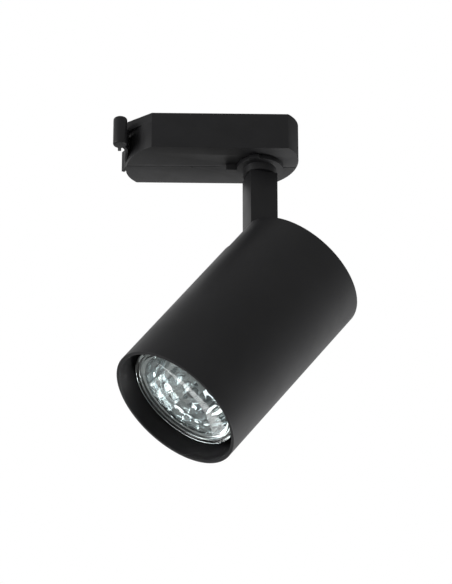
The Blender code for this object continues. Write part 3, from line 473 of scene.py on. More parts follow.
PIVOT = Vector(next(joint["pos_m"] for joint in frame["joints"] if joint["name"] == "lever_pull"))
lever_low, lever_high = span("latch_lever")
WEB_TOP = -0.0049
GRIP_THICK = 0.0013
ROLL = (-0.0603, -0.0120)
ROLL_RADIUS = 0.003
GRIP_LINE = [
    (-0.0587, -0.0102), (-0.0579, -0.0086), (-0.0575, -0.0060), (-0.0577, -0.0030), (-0.0577, 0.0),
    (-0.0574, 0.0030), (-0.0574, 0.0060), (-0.0581, 0.0085), (-0.0592, 0.0104)
]
LIP_LINE = [Vector((-0.0606, -0.0110)), Vector((-0.0605, -0.0072))]
LIP_THICK = 0.0014
LIP_TOP = -0.0024
PEG_ARM = 0.007
PEG_RADIUS = 0.001
PIN_BORE = 0.0013
HUB_RADIUS = 0.0022


def smooth_line(points, steps):
    """A smooth curve through points."""
    line = []
    ends = [points[0], *points, points[-1]]
    for before, start, end, after in zip(ends, ends[1:], ends[2:], ends[3:]):
        before, start, end, after = map(Vector, (before, start, end, after))
        for i in range(steps):
            t = i / steps
            line.append(
                (2 * start + (end - before) * t + (2 * before - 5 * start + 4 * end - after) * t ** 2
                 + (3 * start - before - 3 * end + after) * t ** 3) / 2
            )
    return [*line, Vector(points[-1])]


def ribbon(points, thick):
    """The outline of a band of even thickness along a line."""
    left, right = [], []
    for i, point in enumerate(points):
        along = (points[min(i + 1, len(points) - 1)] - points[max(i - 1, 0)]).normalized()
        across = Vector((-along.y, along.x)) * thick / 2
        left.append(point + across)
        right.append(point - across)
    return [tuple(point) for point in left + right[::-1]]


def turned(profile, sides=96, ease=0.0, ease_steps=3):
    """A profile of (radius, height) points, its corners rounded, spun about Z."""
    made = bmesh.new()
    rim = [made.verts.new((radius, 0, height)) for radius, height in profile]
    closed = profile[0][0] > 0
    for pair in zip(rim, rim[1:] + rim[:1]):
        if closed or pair[0] != rim[-1]:
            made.edges.new(pair)
    if ease:
        corners = [v for v in rim if len(v.link_edges) == 2]
        bmesh.ops.bevel(
            made, geom=corners, offset=ease, segments=ease_steps, profile=0.5, affect="VERTICES", material=-1,
            clamp_overlap=True
        )
    bmesh.ops.spin(
        made, geom=made.verts[:] + made.edges[:], cent=(0, 0, 0), axis=(0, 0, 1), angle=2 * math.pi,
        steps=sides, use_merge=True
    )
    bmesh.ops.remove_doubles(made, verts=made.verts, dist=1e-7)
    bmesh.ops.recalc_face_normals(made, faces=made.faces)
    return made


grip = prism(ribbon(smooth_line(GRIP_LINE, 5), GRIP_THICK), lever_low.z, WEB_TOP)
roll = [(0, lever_high.z), (ROLL_RADIUS, lever_high.z), (ROLL_RADIUS, lever_low.z), (0, lever_low.z)]
roll = turned(roll, 64, 0.0009, 6)
bmesh.ops.translate(roll, verts=roll.verts, vec=(*ROLL, 0))
lip = prism(ribbon(LIP_LINE, LIP_THICK), lever_low.z, LIP_TOP)
arm = box((-0.0577, PIVOT.y - 0.0013, -0.0115), (PIVOT.x, PIVOT.y + 0.0013, -0.0065))
hub = post((PIVOT.x, PIVOT.y, -0.012), (PIVOT.x, PIVOT.y, -0.006), HUB_RADIUS)
inner = box((PIVOT.x - 0.0012, PIVOT.y - 0.0085, -0.009), (PIVOT.x + 0.0012, PIVOT.y, -0.0066))
peg_y = PIVOT.y - PEG_ARM
peg = post((PIVOT.x, peg_y, -0.008), (PIVOT.x, peg_y, lever_high.z - 0.0018), PEG_RADIUS, 32)
bore = post((PIVOT.x, PIVOT.y, -0.02), (PIVOT.x, PIVOT.y, 0.01), PIN_BORE, 32)
lever = carved(grip, [roll, lip, arm, hub, inner, peg], [bore])
piece("finger_lever", eased(lever, 0.0002, 2), moulded_nylon, "lever", ["latch_lever"])

# Swivel collar --------------------------------------------------------------------------------------------
# A turned collar that carries the stem below the adapter, powder coated black like the stem and the head.
# The small tab on its rim meets the housing's lug, which stops the swivel before the leads wind up.

joints = {joint["name"]: joint for joint in frame["joints"]}
TILT_AXIS = Vector(joints["head_tilt"]["axis"]).normalized()
BACKWARD = -Vector(joints["lamp_twist"]["axis"]).normalized()


def stand(origin, across, along):
    """A place at an origin with its Z along one direction and its Y across it."""
    turn = Matrix((across.cross(along), across, along)).transposed().to_4x4()
    return Matrix.Translation(origin) @ turn


stem_place = stand((0, 0, 0), TILT_AXIS, Vector((0, 0, 1)))
hinge_place = stand(joints["head_tilt"]["pos_m"], TILT_AXIS, BACKWARD)
lamp_place = stand(joints["lamp_twist"]["pos_m"], TILT_AXIS, BACKWARD)

powder_coat = material("black powder coat", "1A1A1B", 0.48, Specular_IOR_Level=0.5)
grain(powder_coat, 0.0007, 0.00002, 2.0)
vary(powder_coat, "Roughness", 0.012, 0.43, 0.52)
vary(powder_coat, "Base Color", 0.02, "1E1E20", "242426")

collar_low, collar_high = span("swivel_collar", stem_place)
DISC_RADIUS = 0.01
NECK_RADIUS = 0.0073
NECK_BORE = 0.0043
disc_low = collar_high.z - 0.0019
TAB_TURN = math.radians(-31.2 - 90)
tab = box((DISC_RADIUS - 0.001, -0.00225, disc_low), (DISC_RADIUS + 0.0009, 0.00225, collar_high.z - 0.0001))
bmesh.ops.rotate(tab, verts=tab.verts, cent=(0, 0, 0), matrix=Matrix.Rotation(TAB_TURN, 3, "Z"))
collar = turned(
    [(DISC_RADIUS, collar_high.z), (DISC_RADIUS, disc_low), (NECK_RADIUS, disc_low),
     (NECK_RADIUS, collar_low.z), (NECK_BORE, collar_low.z), (NECK_BORE, collar_high.z)],
    128,
)
collar = eased(carved(collar, [tab]), 0.00025)
piece("collar", collar, powder_coat, "arm", ["swivel_collar"], stem_place)

# Stem -----------------------------------------------------------------------------------------------------
# A square steel tube, 12 mm across, with small round edges as drawn tube has. Its lower end is rounded about
# the tilt axis and is bored for the hinge bolt; the leads leave through a window above it.

stem_high = span("stem", stem_place)[1]
TILT_HEIGHT = joints["head_tilt"]["pos_m"][2]
HALF_STEM = stem_high.y
STEM_BORE = 0.0043
BOLT_HOLE = 0.0023
turns = [math.pi * (1 + i / 24) for i in range(25)]
side_view = [(HALF_STEM * math.cos(t), TILT_HEIGHT + HALF_STEM * math.sin(t)) for t in turns]
side_view += [(HALF_STEM, stem_high.z), (-HALF_STEM, stem_high.z)]
stem = prism(side_view, -HALF_STEM, HALF_STEM)
bmesh.ops.rotate(stem, verts=stem.verts, cent=(0, 0, 0), matrix=Matrix.Rotation(math.pi / 2, 3, "X"))
stem = carved(
    stem,
    cut=[
        box((-STEM_BORE, -STEM_BORE, TILT_HEIGHT - 0.02), (STEM_BORE, STEM_BORE, 0)),
        post((0, -0.02, TILT_HEIGHT), (0, 0.02, TILT_HEIGHT), BOLT_HOLE),
        box((0, -0.003, TILT_HEIGHT + 0.003), (0.02, 0.003, TILT_HEIGHT + 0.008)),
    ],
)
piece("square_stem", eased(stem, 0.0004), powder_coat, "arm", ["stem"], stem_place)

# Head tube ------------------------------------------------------------------------------------------------
# An aluminium tube, 60 mm across with a 1.5 mm wall, cut square at the mouth and powder coated inside and
# out. A slot at the back takes the stem as the head tilts.

tube_low, tube_high = span("head_tube", lamp_place)
TUBE_RADIUS = tube_high.x - 0.0002
TUBE_WALL = 0.0015
SLOT_HALF = 0.0074
SLOT_LENGTH = 0.017
TUBE_SIDES = 256
tube = turned(
    [(TUBE_RADIUS, tube_high.z), (TUBE_RADIUS, tube_low.z), (TUBE_RADIUS - TUBE_WALL, tube_low.z),
     (TUBE_RADIUS - TUBE_WALL, tube_high.z)],
    TUBE_SIDES,
)
slot_low = (-0.06, -SLOT_HALF, tube_high.z - SLOT_LENGTH)
AXIS_OFFSET = (hinge_place.inverted() @ lamp_place.translation).x
tube = carved(tube, cut=[box(slot_low, (-AXIS_OFFSET, SLOT_HALF, tube_high.z + 0.01))])
piece("tube", eased(tube, 0.0004), powder_coat, "head", ["head_tube"], lamp_place)

# Rear cap -------------------------------------------------------------------------------------------------
# A pressed aluminium disc just inside the tube's back end, in the same powder coat. It closes the head,
# and its notch leaves room for the stem.

cap_low, cap_high = span("rear_cap", lamp_place)
cap = turned([(0, cap_high.z), (cap_high.x, cap_high.z), (cap_high.x, cap_low.z), (0, cap_low.z)], TUBE_SIDES)
notch_end = HALF_STEM + 0.0007 - AXIS_OFFSET
notch = box((-0.06, -SLOT_HALF, cap_low.z - 0.01), (notch_end, SLOT_HALF, cap_high.z + 0.01))
cap = carved(cap, cut=[notch])
piece("back_cap", eased(cap, 0.0003), powder_coat, "head", ["rear_cap"], lamp_place)

# Lamp glass -----------------------------------------------------------------------------------------------
# The pressed front lens of the reflector lamp, in clear soda-lime glass, which is faintly green at its edge.
# Its rim is a raised bead with a groove inside it.

lens_low, lens_high = span("lamp_glass", lamp_place)
LENS_RADIUS = lens_high.x
soda_lime = material("clear soda-lime glass", "FBFEFD", 0.01, Transmission_Weight=1.0, IOR=1.52)
vary(soda_lime, "Roughness", 0.008, 0.0, 0.02)
lens = turned(
    [(0, lens_high.z), (LENS_RADIUS, lens_high.z), (LENS_RADIUS, lens_low.z),
     (LENS_RADIUS - 0.0012, lens_low.z), (LENS_RADIUS - 0.0016, lens_low.z + 0.0004),
     (LENS_RADIUS - 0.0024, lens_low.z + 0.0004), (LENS_RADIUS - 0.0028, lens_low.z + 0.0002),
     (0, lens_low.z + 0.0002)],
    160,
    0.0002,
)
piece("front_lens", lens, soda_lime, "lamp", ["lamp_glass"], lamp_place, 30)

# Reflector ------------------------------------------------------------------------------------------------
# A pressed-glass bowl, coated with bright aluminium. Rows of small pillow-shaped facets spread the beam,
# and a flat band at its edge carries the lens.

bowl_low, bowl_high = span("lamp_reflector", lamp_place)
RIM_RADIUS = bowl_high.x
BOWL_RADIUS = 0.0208
OPENING = 0.0052
BOWL_WALL = 0.0014
FOCUS = 0.0038
RIM_HEIGHT = 0.0025
COLUMNS = 26
ROWS = 8
PILLOW = 0.0005
COLUMN_STEPS = 6
ROW_STEPS = 5

bright_coat = material("aluminised reflector", "DDE2E4", 0.07, 1.0)
vary(bright_coat, "Roughness", 0.004, 0.04, 0.12)
vary(bright_coat, "Base Color", 0.007, "C4CED2", "EEF0EF")


def bowl_radius(share):
    """Radius of the bowl's inside at a share of the way from its opening to its edge."""
    return OPENING + (BOWL_RADIUS - OPENING) * share ** 0.8


def bowl_height(radius):
    """Height of the bowl's parabolic inside at a radius."""
    return bowl_low.z + (BOWL_RADIUS ** 2 - radius ** 2) / (4 * FOCUS)


count = ROWS * ROW_STEPS
inside = [(bowl_radius(i / count), bowl_height(bowl_radius(i / count))) for i in range(count + 1)]
outside = [(radius + BOWL_WALL, height + BOWL_WALL / 2) for radius, height in inside[: -ROW_STEPS]]
outside += [(BOWL_RADIUS + BOWL_WALL, bowl_low.z + RIM_HEIGHT), (RIM_RADIUS, bowl_low.z + RIM_HEIGHT),
            (RIM_RADIUS, bowl_low.z)]
bowl = turned(outside + inside[::-1], COLUMNS * COLUMN_STEPS)
for vertex in bowl.verts:
    radius = math.hypot(vertex.co.x, vertex.co.y)
    if abs(vertex.co.z - bowl_height(radius)) > 1e-6:
        continue
    row = ROWS * ((radius - OPENING) / (BOWL_RADIUS - OPENING)) ** 1.25
    column = COLUMNS * (math.atan2(vertex.co.y, vertex.co.x) / (2 * math.pi) + 0.5 * (int(row) % 2))
    swell = abs(math.sin(math.pi * row) * math.sin(math.pi * column)) ** 0.7
    reach = min(radius / BOWL_RADIUS, 1) * PILLOW * swell
    inward = Vector((-vertex.co.x, -vertex.co.y, -radius * radius / (2 * FOCUS))).normalized()
    vertex.co += inward * reach
piece("reflector", bowl, bright_coat, "lamp", ["lamp_reflector"], lamp_place, 14)

# Capsule --------------------------------------------------------------------------------------------------
# The quartz halogen capsule: a thin clear tube with a domed end. A real one is pinched flat at its foot
# and has a drawn-off tip; this one is left open at the foot and plain at the dome.

capsule_low, capsule_high = span("lamp_capsule", lamp_place)
CAPSULE_RADIUS = capsule_high.x
CAPSULE_WALL = 0.0007
quartz = material("fused quartz", "FAFCFC", 0.005, Transmission_Weight=1.0, IOR=1.46)
vary(quartz, "Roughness", 0.003, 0.0, 0.015)


def half_ball(radius, tip, steps=12):
    """Profile points of a dome that ends on the axis at the height tip."""
    turns = [math.pi / 2 * i / steps for i in range(steps + 1)]
    points = [(radius * math.cos(turn), tip + radius - radius * math.sin(turn)) for turn in turns]
    return [*points[:-1], (0, tip)]


outer_wall = [(CAPSULE_RADIUS, capsule_high.z), *half_ball(CAPSULE_RADIUS, capsule_low.z)]
inner_radius = CAPSULE_RADIUS - CAPSULE_WALL
inner_dome = half_ball(inner_radius, capsule_low.z + CAPSULE_WALL)
inner_wall = [*reversed(inner_dome), (inner_radius, capsule_high.z)]
capsule = bmesh.new()
for wall in (outer_wall, inner_wall):
    rim = [capsule.verts.new((radius, 0, height)) for radius, height in wall]
    for pair in zip(rim, rim[1:]):
        capsule.edges.new(pair)
bmesh.ops.spin(
    capsule, geom=capsule.verts[:] + capsule.edges[:], cent=(0, 0, 0), axis=(0, 0, 1), angle=2 * math.pi,
    steps=64, use_merge=True
)
bmesh.ops.remove_doubles(capsule, verts=capsule.verts, dist=1e-7)
mouths = [e for e in capsule.edges if e.is_boundary]
bmesh.ops.bridge_loops(capsule, edges=mouths)
bmesh.ops.recalc_face_normals(capsule, faces=capsule.faces)
piece("quartz_capsule", capsule, quartz, "lamp", ["lamp_capsule"], lamp_place)

# Filament -------------------------------------------------------------------------------------------------
# Drawn tungsten wire: two straight legs and a close coil between them. The coil lies across the lamp's
# axis, inside the capsule.

tungsten = material("drawn tungsten", "6E6C6A", 0.35, 1.0)
grain(tungsten, 0.0002, 0.000005)


def tube_of(line, radius, sides=2):
    """A bmesh of a round wire along a line of points, with closed ends."""
    curve = bpy.data.curves.new("wire", "CURVE")
    curve.dimensions = "3D"
    curve.bevel_depth = radius
    curve.bevel_resolution = sides
    curve.use_fill_caps = True
    spline = curve.splines.new("POLY")
    spline.points.add(len(line) - 1)
    for point, place in zip(spline.points, line):
        point.co = (*place, 1)
    wire = bpy.data.objects.new("wire", curve)
    bpy.context.scene.collection.objects.link(wire)
    bpy.context.view_layer.update()
    made = bmesh.new()
    made.from_mesh(wire.evaluated_get(bpy.context.evaluated_depsgraph_get()).to_mesh())
    bmesh.ops.remove_doubles(made, verts=made.verts, dist=1e-7)
    bmesh.ops.recalc_face_normals(made, faces=made.faces)
    bpy.data.objects.remove(wire)
    return made


def helix(start, end, radius, turns, steps=16):
    """Points of a coil between two points."""
    start, end = Vector(start), Vector(end)
    along = (end - start).normalized()
    side = along.orthogonal().normalized()
    other = along.cross(side)
    count = turns * steps
    return [
        start.lerp(end, i / count)
        + radius * (math.cos(2 * math.pi * i / steps) * side + math.sin(2 * math.pi * i / steps) * other)
        for i in range(count + 1)
    ]


filament_low, filament_high = span("lamp_filament", lamp_place)
LEG = 0.0022
coil_height = filament_low.z + 0.0016
legs = [(-LEG, 0, filament_high.z), (-LEG, 0, coil_height + 0.001)]
legs_back = [(LEG, 0, coil_height + 0.001), (LEG, 0, filament_high.z)]
middle_coil = helix((-0.0019, 0, coil_height), (0.0019, 0, coil_height), 0.0006, 14)
wire = tube_of([*map(Vector, legs), *middle_coil, *map(Vector, legs_back)], 0.0001)
piece("filament", wire, tungsten, "lamp", ["lamp_filament"], lamp_place)

# Seating plate and contacts -------------------------------------------------------------------------------
# The plate is moulded in dark grey nylon and closes the housing's top; its low hollow neck goes into the
# track. The stamped brass contacts are pressed out of the neck by coils of spring wire.

grey_nylon = material("dark grey moulded nylon", "4A4A4C", 0.5)
grain(grey_nylon, 0.0004, 0.00001)
vary(grey_nylon, "Base Color", 0.01, "444446", "515153")
bright_brass = material("stamped brass", "D2AE62", 0.28, 1.0)
grain(bright_brass, 0.00012, 0.000002)
vary(bright_brass, "Roughness", 0.002, 0.2, 0.4)
vary(bright_brass, "Base Color", 0.003, "C49A4C", "DDBD76")
spring_wire = material("drawn spring steel", "A4A3A2", 0.3, 1.0)
grain(spring_wire, 0.0001, 0.000002)
vary(spring_wire, "Roughness", 0.001, 0.22, 0.38)


def copied(node, place=Matrix(), radius=0.0):
    """A bmesh of a node of the frame, as seen from a place, with its sharp edges rounded."""
    made = bmesh.new()
    made.from_mesh(frame["nodes"][node].data)
    bmesh.ops.transform(made, matrix=place.inverted(), verts=made.verts)
    bmesh.ops.remove_doubles(made, verts=made.verts, dist=1e-6)
    bmesh.ops.dissolve_limit(made, angle_limit=math.radians(0.5), verts=made.verts, edges=made.edges)
    return eased(made, radius, 2) if radius else made


plate = copied("track_insert", radius=0.00015)
piece("seating_plate", plate, grey_nylon, "adapter", ["track_insert"])
CONTACT_Z = 0.0011
for name, x, side in (("line", -0.018, -1), ("neutral", -0.018, 1), ("earth", -0.035, 1)):
    strip = copied(f"contact_{name}", radius=0.00015)
    piece(f"{name}_strip", strip, bright_brass, f"{name}_contact", [f"contact_{name}"])
    node = f"contact_spring_{name}"
    near, end = sorted(abs(p.y) for p in span(node))
    line = helix((x, side * (near + 0.0002), CONTACT_Z), (x, side * (end - 0.0002), CONTACT_Z), 0.0008, 5)
    piece(f"{name}_spring", tube_of(line, 0.00013), spring_wire, "adapter", [node])

# Fixings --------------------------------------------------------------------------------------------------
# Zinc-plated screws with cross recesses and rolled threads, hexagon nuts with chamfered corners, and the
# bright hinge bolt. The plating is bluish, and duller in patches.

zinc_plate = material("blue zinc plating", "C3C8CE", 0.3, 1.0)
grain(zinc_plate, 0.0003, 0.000003)
vary(zinc_plate, "Roughness", 0.003, 0.24, 0.42)
vary(zinc_plate, "Base Color", 0.004, "B4BAC2", "CED1D4")
bright_steel = material("bright turned steel", "C6C7C9", 0.22, 1.0)
grain(bright_steel, 0.0001, 0.000002)
vary(bright_steel, "Roughness", 0.002, 0.16, 0.3)


def threaded(radius, high, low, pitch, depth=0.00012):
    """Profile points down a screw's shank, with a groove for each turn of its thread."""
    turns = int((high - low) / pitch)
    points = []
    for i in range(turns):
        crest = high - pitch * i
        points += [(radius, crest), (radius, crest - pitch * 0.3), (radius - depth, crest - pitch * 0.65)]
    return [*points, (radius, high - pitch * turns), (radius, low)]


def cross_recess(top, size, depth):
    """Four tapered arms for a screwdriver, cut down from a screw's top."""
    thick = size * 0.17
    return [
        box((-size, -thick, top - depth), (size, thick, top + 0.001)),
        box((-thick, -size, top - depth), (thick, size, top + 0.001)),
    ]


def pan_screw(
    name, node, body, place, head, head_high, shank, length, pitch=0.0005, finish=zinc_plate
):
    """A pan-head screw whose head stands above the place's origin and whose shank points down from it."""
    turns = (0, 0.35, 0.7, 1.05, 1.4, 1.57)
    dome = [(head * math.sin(t), head_high * (0.45 + 0.55 * math.cos(t))) for t in turns]
    profile = [*dome, (head, 0), *threaded(shank, 0, -length, pitch)]
    made = turned([*profile, (0, -length)], 48)
    made = carved(made, cut=cross_recess(head_high, head * 0.55, head_high * 0.6))
    return piece(name, made, finish, body, [node], place)


def facing(point, across, along):
    """A place at a point, as stand gives it, from plain numbers."""
    return stand(Vector(point), Vector(across), Vector(along))


SELF_TAPPER = 0.00125
HOUSING_HEAD, PLATE_HEAD, STRAP_HEAD = 0.0019, 0.0016, 0.0014
BRACKET_HOLE_X = 0.0042
for index, x in enumerate(BOSS_X):
    node = f"shell_screw_{index + 1}"
    seat = span(node)[1].y - HOUSING_HEAD
    place = facing((x, seat, BOSS_Z), (1, 0, 0), (0, 1, 0))
    pan_screw(
        f"housing_screw_{index + 1}", node, "adapter", place, 0.0021, HOUSING_HEAD, SELF_TAPPER,
        length=0.0224, pitch=0.0007
    )
for sign, node in ((-1, "bracket_screw_1"), (1, "bracket_screw_2")):
    low, high = span(node, hinge_place)
    under = Matrix.Translation((sign * BRACKET_HOLE_X, 0, low.z + PLATE_HEAD))
    place = hinge_place @ under @ Matrix.Rotation(math.pi, 4, "X")
    length = high.z - low.z - PLATE_HEAD
    pan_screw(f"plate_{node[8:]}", node, "head", place, 0.0022, PLATE_HEAD, SELF_TAPPER, length)
for sign, node in ((-1, "holder_screw_1"), (1, "holder_screw_2")):
    low, high = span(node, lamp_place)
    seat = high.y - STRAP_HEAD if sign > 0 else low.y + STRAP_HEAD
    turn = Matrix.Rotation(-sign * math.pi / 2, 4, "X")
    place = lamp_place @ Matrix.Translation((0, seat, (low.z + high.z) / 2)) @ turn
    pan_screw(f"strap_{node[7:]}", node, "head", place, 0.0022, STRAP_HEAD, SELF_TAPPER, 0.0047)


def hex_nut(name, node, body, place, flats, bore, low, high):
    """A hexagon nut with its corners chamfered and a countersunk, grooved bore."""
    corner = flats / math.sqrt(3)
    source = post((0, 0, low), (0, 0, high), corner, 6)
    cone = (flats / 2) * 1.02
    drop = (corner - cone) * 0.5
    wide = corner + 0.0005
    shape = [
        (0, high), (cone, high), (wide, high - drop - 0.0003),
        (wide, low + drop + 0.0003), (cone, low), (0, low)
    ]
    hidden = solid(turned(shape, 96))
    blank = solid(source)
    change = blank.modifiers.new("meet", "BOOLEAN")
    change.operation, change.solver, change.object = "INTERSECT", "EXACT", hidden
    bpy.context.view_layer.update()
    made = bmesh.new()
    made.from_mesh(blank.evaluated_get(bpy.context.evaluated_depsgraph_get()).to_mesh())
    bpy.data.objects.remove(blank)
    bpy.data.objects.remove(hidden)
    grooves = threaded(bore, high - 0.0003, low + 0.0003, 0.0007)
    inside = [(bore + 0.0003, high + 0.0001), (bore, high - 0.0003), *grooves, (bore + 0.0003, low - 0.0001)]
    made = carved(made, cut=[turned([(0, high + 0.0001), *inside, (0, low - 0.0001)], 48)])
    return piece(name, made, zinc_plate, body, [node], place)


low, high = span("swivel_nut", stem_place)
hex_nut("lock_nut", "swivel_nut", "arm", stem_place, 0.012, 0.0043, low.z, high.z)
low, high = span("hinge_nut", hinge_place)
upright = Matrix.Rotation(-math.pi / 2, 4, "X")
hex_nut("bolt_nut", "hinge_nut", "head", hinge_place @ upright, 0.007, BOLT_HOLE, low.y, high.y)

# Swivel ---------------------------------------------------------------------------------------------------
# A turned brass bush in the housing's floor, and the zinc-plated hollow nipple that turns in it with the
# stem, held by a wave washer that gives the friction.

low, high = span("swivel_bush")
shoulder = high.z - 0.003
FLANGE_RADIUS, BUSH_RADIUS, BUSH_BORE = 0.009, 0.0068, 0.0043
FLANGE_THICK = 0.0015
NIPPLE_RADIUS, NIPPLE_BORE = 0.004, 0.0028
under = shoulder - FLANGE_THICK
bush = turned(
    [(FLANGE_RADIUS, shoulder), (FLANGE_RADIUS, under), (BUSH_RADIUS, under), (BUSH_RADIUS, low.z),
     (BUSH_BORE, low.z), (BUSH_BORE, high.z), (BUSH_RADIUS, high.z), (BUSH_RADIUS, shoulder)],
    128, 0.00015
)
piece("bush", bush, bright_brass, "adapter", ["swivel_bush"])
low, high = span("swivel_washer", stem_place)
middle_z, swell = (low.z + high.z) / 2, (high.z - low.z) / 2 - 0.0002
ring = [(BUSH_RADIUS, 0.0002), (BUSH_RADIUS, -0.0002), (BUSH_BORE, -0.0002), (BUSH_BORE, 0.0002)]
wave = turned(ring, 144, 0.00005)
for vertex in wave.verts:
    vertex.co.z += middle_z + swell * math.cos(3 * math.atan2(vertex.co.y, vertex.co.x))
piece("wave_washer", wave, spring_wire, "arm", ["swivel_washer"], stem_place)
low, high = span("swivel_nipple", stem_place)
shank = threaded(NIPPLE_RADIUS, high.z, low.z, 0.0007)
nipple = turned([*shank, (NIPPLE_BORE, low.z), (NIPPLE_BORE, high.z)], 96)
piece("nipple", nipple, zinc_plate, "arm", ["swivel_nipple"], stem_place)

# Latch parts ----------------------------------------------------------------------------------------------
# The lever's turned steel pin, its coil of spring wire, and the stamped zinc-plated slide whose hook grips
# the track.

low, high = span("lever_pin")
PIN_RADIUS = 0.001
pin = turned([(0, high.z), (PIN_RADIUS, high.z), (PIN_RADIUS, low.z), (0, low.z)], 48, 0.0002)
place = Matrix.Translation((PIVOT.x, PIVOT.y, 0))
piece("pivot_pin", pin, bright_steel, "adapter", ["lever_pin"], place)
low, high = span("lever_spring")
line = helix((PIVOT.x, PIVOT.y, low.z + 0.0003), (PIVOT.x, PIVOT.y, high.z - 0.0003), 0.0017, 5, 24)
piece("return_spring", tube_of(line, 0.0002), spring_wire, "adapter", ["lever_spring"])
piece("slide_hook", copied("lock_slide", radius=0.00015), zinc_plate, "lock", ["lock_slide"])

# Hinge ----------------------------------------------------------------------------------------------------
# A bracket bent from 1.5 mm zinc-plated steel, its bolt, and two white nylon washers that rub on the stem.
# Their friction holds the head where it is tilted.

bracket = copied("hinge_bracket", hinge_place, 0.0003)
piece("bracket", bracket, zinc_plate, "head", ["hinge_bracket"], hinge_place)
white_nylon = material("white nylon", "E2E2DC", 0.42, Subsurface_Weight=0.08, Subsurface_Scale=0.001)
grain(white_nylon, 0.0005, 0.000006)
vary(white_nylon, "Base Color", 0.004, "DADAD2", "E9E9E4")
for side in ("front", "back"):
    node = f"friction_washer_{side}"
    low, high = span(node, hinge_place)
    ring = [(0.0055, high.y), (BOLT_HOLE, high.y), (BOLT_HOLE, low.y), (0.0055, low.y)]
    disc = turned(ring, 96, 0.0001)
    piece(f"rubbing_washer_{side}", disc, white_nylon, "head", [node], hinge_place @ upright)
low, high = span("hinge_bolt", hinge_place)
BOLT_HEAD = 0.0022
seat = low.y + BOLT_HEAD
place = hinge_place @ Matrix.Translation((0, seat, 0)) @ Matrix.Rotation(math.pi / 2, 4, "X")
pan_screw(
    "bolt", "hinge_bolt", "head", place, 0.0035, BOLT_HEAD, 0.002, high.y - seat, 0.0007,
    bright_steel
)

# Mounting plate and lamp holder ---------------------------------------------------------------------------
# A punched steel disc across the tube. A bent strap under it holds the glazed steatite lamp holder, whose
# curved slots take the lamp's two pins; brass clips at their bottom touch the pins.

disc = copied("mount_plate", lamp_place, 0.0002)
piece("plate", disc, zinc_plate, "head", ["mount_plate"], lamp_place)
strap = copied("holder_strap", lamp_place, 0.0002)
piece("strap", strap, zinc_plate, "head", ["holder_strap"], lamp_place)
steatite = material("glazed steatite", "E9E6DC", 0.22, Coat_Weight=0.5, Coat_Roughness=0.08)
grain(steatite, 0.0012, 0.00001)
vary(steatite, "Base Color", 0.006, "E2DED2", "F0EEE6")
vary(steatite, "Roughness", 0.003, 0.16, 0.34)
holder = copied("lamp_holder", lamp_place, 0.0002)
piece("holder", holder, steatite, "head", ["lamp_holder"], lamp_place, 30)
terminals = copied("terminal_block", radius=0.0003)
piece("terminals", terminals, steatite, "adapter", ["terminal_block"])
for index in (1, 2, 3):
    screw = copied(f"terminal_screw_{index}", radius=0.0001)
    piece(f"clamp_screw_{index}", screw, bright_brass, "adapter", [f"terminal_screw_{index}"])
for tag in "ab":
    clip = copied(f"holder_clip_{tag}", lamp_place, 0.0001)
    piece(f"clip_{tag}", clip, bright_brass, "head", [f"holder_clip_{tag}"], lamp_place)
low, high = span("earth_screw", lamp_place)
place = lamp_place @ Matrix.Translation(((low.x + high.x) / 2, (low.y + high.y) / 2, low.z))
head_shape = [(0, 0.003), (0.0018, 0.003), (0.0022, 0.0026), (0.0022, 0), (0, 0)]
screw = carved(turned(head_shape, 48, 0.00005), cut=cross_recess(0.003, 0.0012, 0.0013))
piece("earthing_screw", screw, bright_brass, "head", ["earth_screw"], place)

# Lamp base and pins ---------------------------------------------------------------------------------------
# The lamp's foot is pressed steatite, cemented to the bowl, with two zinc-plated pins whose heads lock in
# the holder.

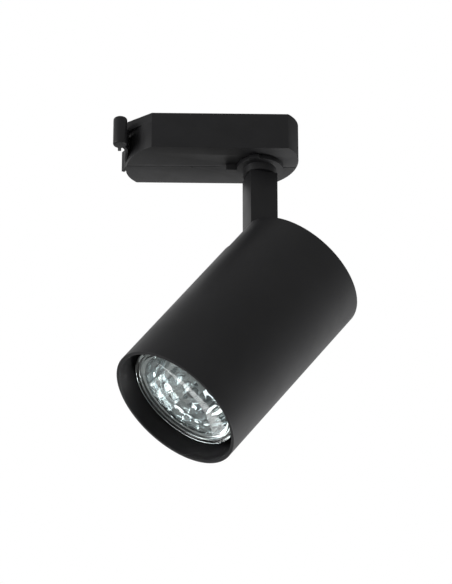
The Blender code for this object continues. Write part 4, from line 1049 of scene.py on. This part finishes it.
PIN_HEAD, PIN_STEM, HEAD_DEPTH, PIN_X = 0.0025, 0.0015, 0.0021, 0.005
foot = copied("lamp_base", lamp_place, 0.0003)
piece("foot", foot, steatite, "lamp", ["lamp_base"], lamp_place, 25)
for sign, tag in ((1, "a"), (-1, "b")):
    low, high = span(f"lamp_pin_{tag}", lamp_place)
    under = high.z - HEAD_DEPTH
    pin = turned(
        [(0, high.z), (PIN_HEAD, high.z), (PIN_HEAD, under), (PIN_STEM, under), (PIN_STEM, low.z),
         (0, low.z)],
        64, 0.0002
    )
    place = lamp_place @ Matrix.Translation((sign * PIN_X, 0, 0))
    piece(f"pin_{tag}", pin, zinc_plate, "lamp", [f"lamp_pin_{tag}"], place)

# Leads ----------------------------------------------------------------------------------------------------
# Stranded leads in heat-proof sleeves: brown for line, blue for neutral, green with yellow bands for
# earth. Each stretch ends where the swivel or the tilt hinge turns.

brown_sleeve = material("brown sleeve", "5B301B", 0.42)
blue_sleeve = material("blue sleeve", "1E4C99", 0.42)
earth_sleeve = material("green and yellow sleeve", "4E9A34", 0.42)
for sleeve, dark, light in ((brown_sleeve, "522A17", "653620"), (blue_sleeve, "1A448C", "2355A8")):
    grain(sleeve, 0.0004, 0.000006)
    vary(sleeve, "Base Color", 0.004, dark, light)
where = grain(earth_sleeve, 0.0004, 0.000006)
bands = add_node(
    earth_sleeve.node_tree,
    "ShaderNodeTexWave",
    values=[("Scale", 160.0), ("Distortion", 0.0)],
    links=[(0, where.outputs["Object"])],
    bands_direction="DIAGONAL",
)
stripes = add_node(earth_sleeve.node_tree, "ShaderNodeValToRGB", links=[(0, bands.outputs[0])])
stripes.color_ramp.interpolation = "CONSTANT"
stripes.color_ramp.elements[0].color = srgb("3F8F2E")
stripes.color_ramp.elements[1].position = 0.62
stripes.color_ramp.elements[1].color = srgb("DCC92E")
earth_tree = earth_sleeve.node_tree
earth_tree.links.new(stripes.outputs[0], earth_tree.nodes["Principled BSDF"].inputs["Base Color"])
SLEEVES = {
    "line": (brown_sleeve, "brown_lead"),
    "neutral": (blue_sleeve, "blue_lead"),
    "earth": (earth_sleeve, "earth_lead"),
}
RUNS = {"contact": ("adapter", Matrix()), "stem": ("arm", stem_place), "head": ("head", lamp_place)}
for group, (body, place) in RUNS.items():
    for pole, (sleeve, slot) in SLEEVES.items():
        node = f"{group}_lead_{pole}"
        lead = copied(node, place)
        bmesh.ops.triangulate(lead, faces=[f for f in lead.faces if len(f.verts) > 4])
        piece(f"{group}_{pole}_lead", lead, sleeve, body, [node], place, 60)

low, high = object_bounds()
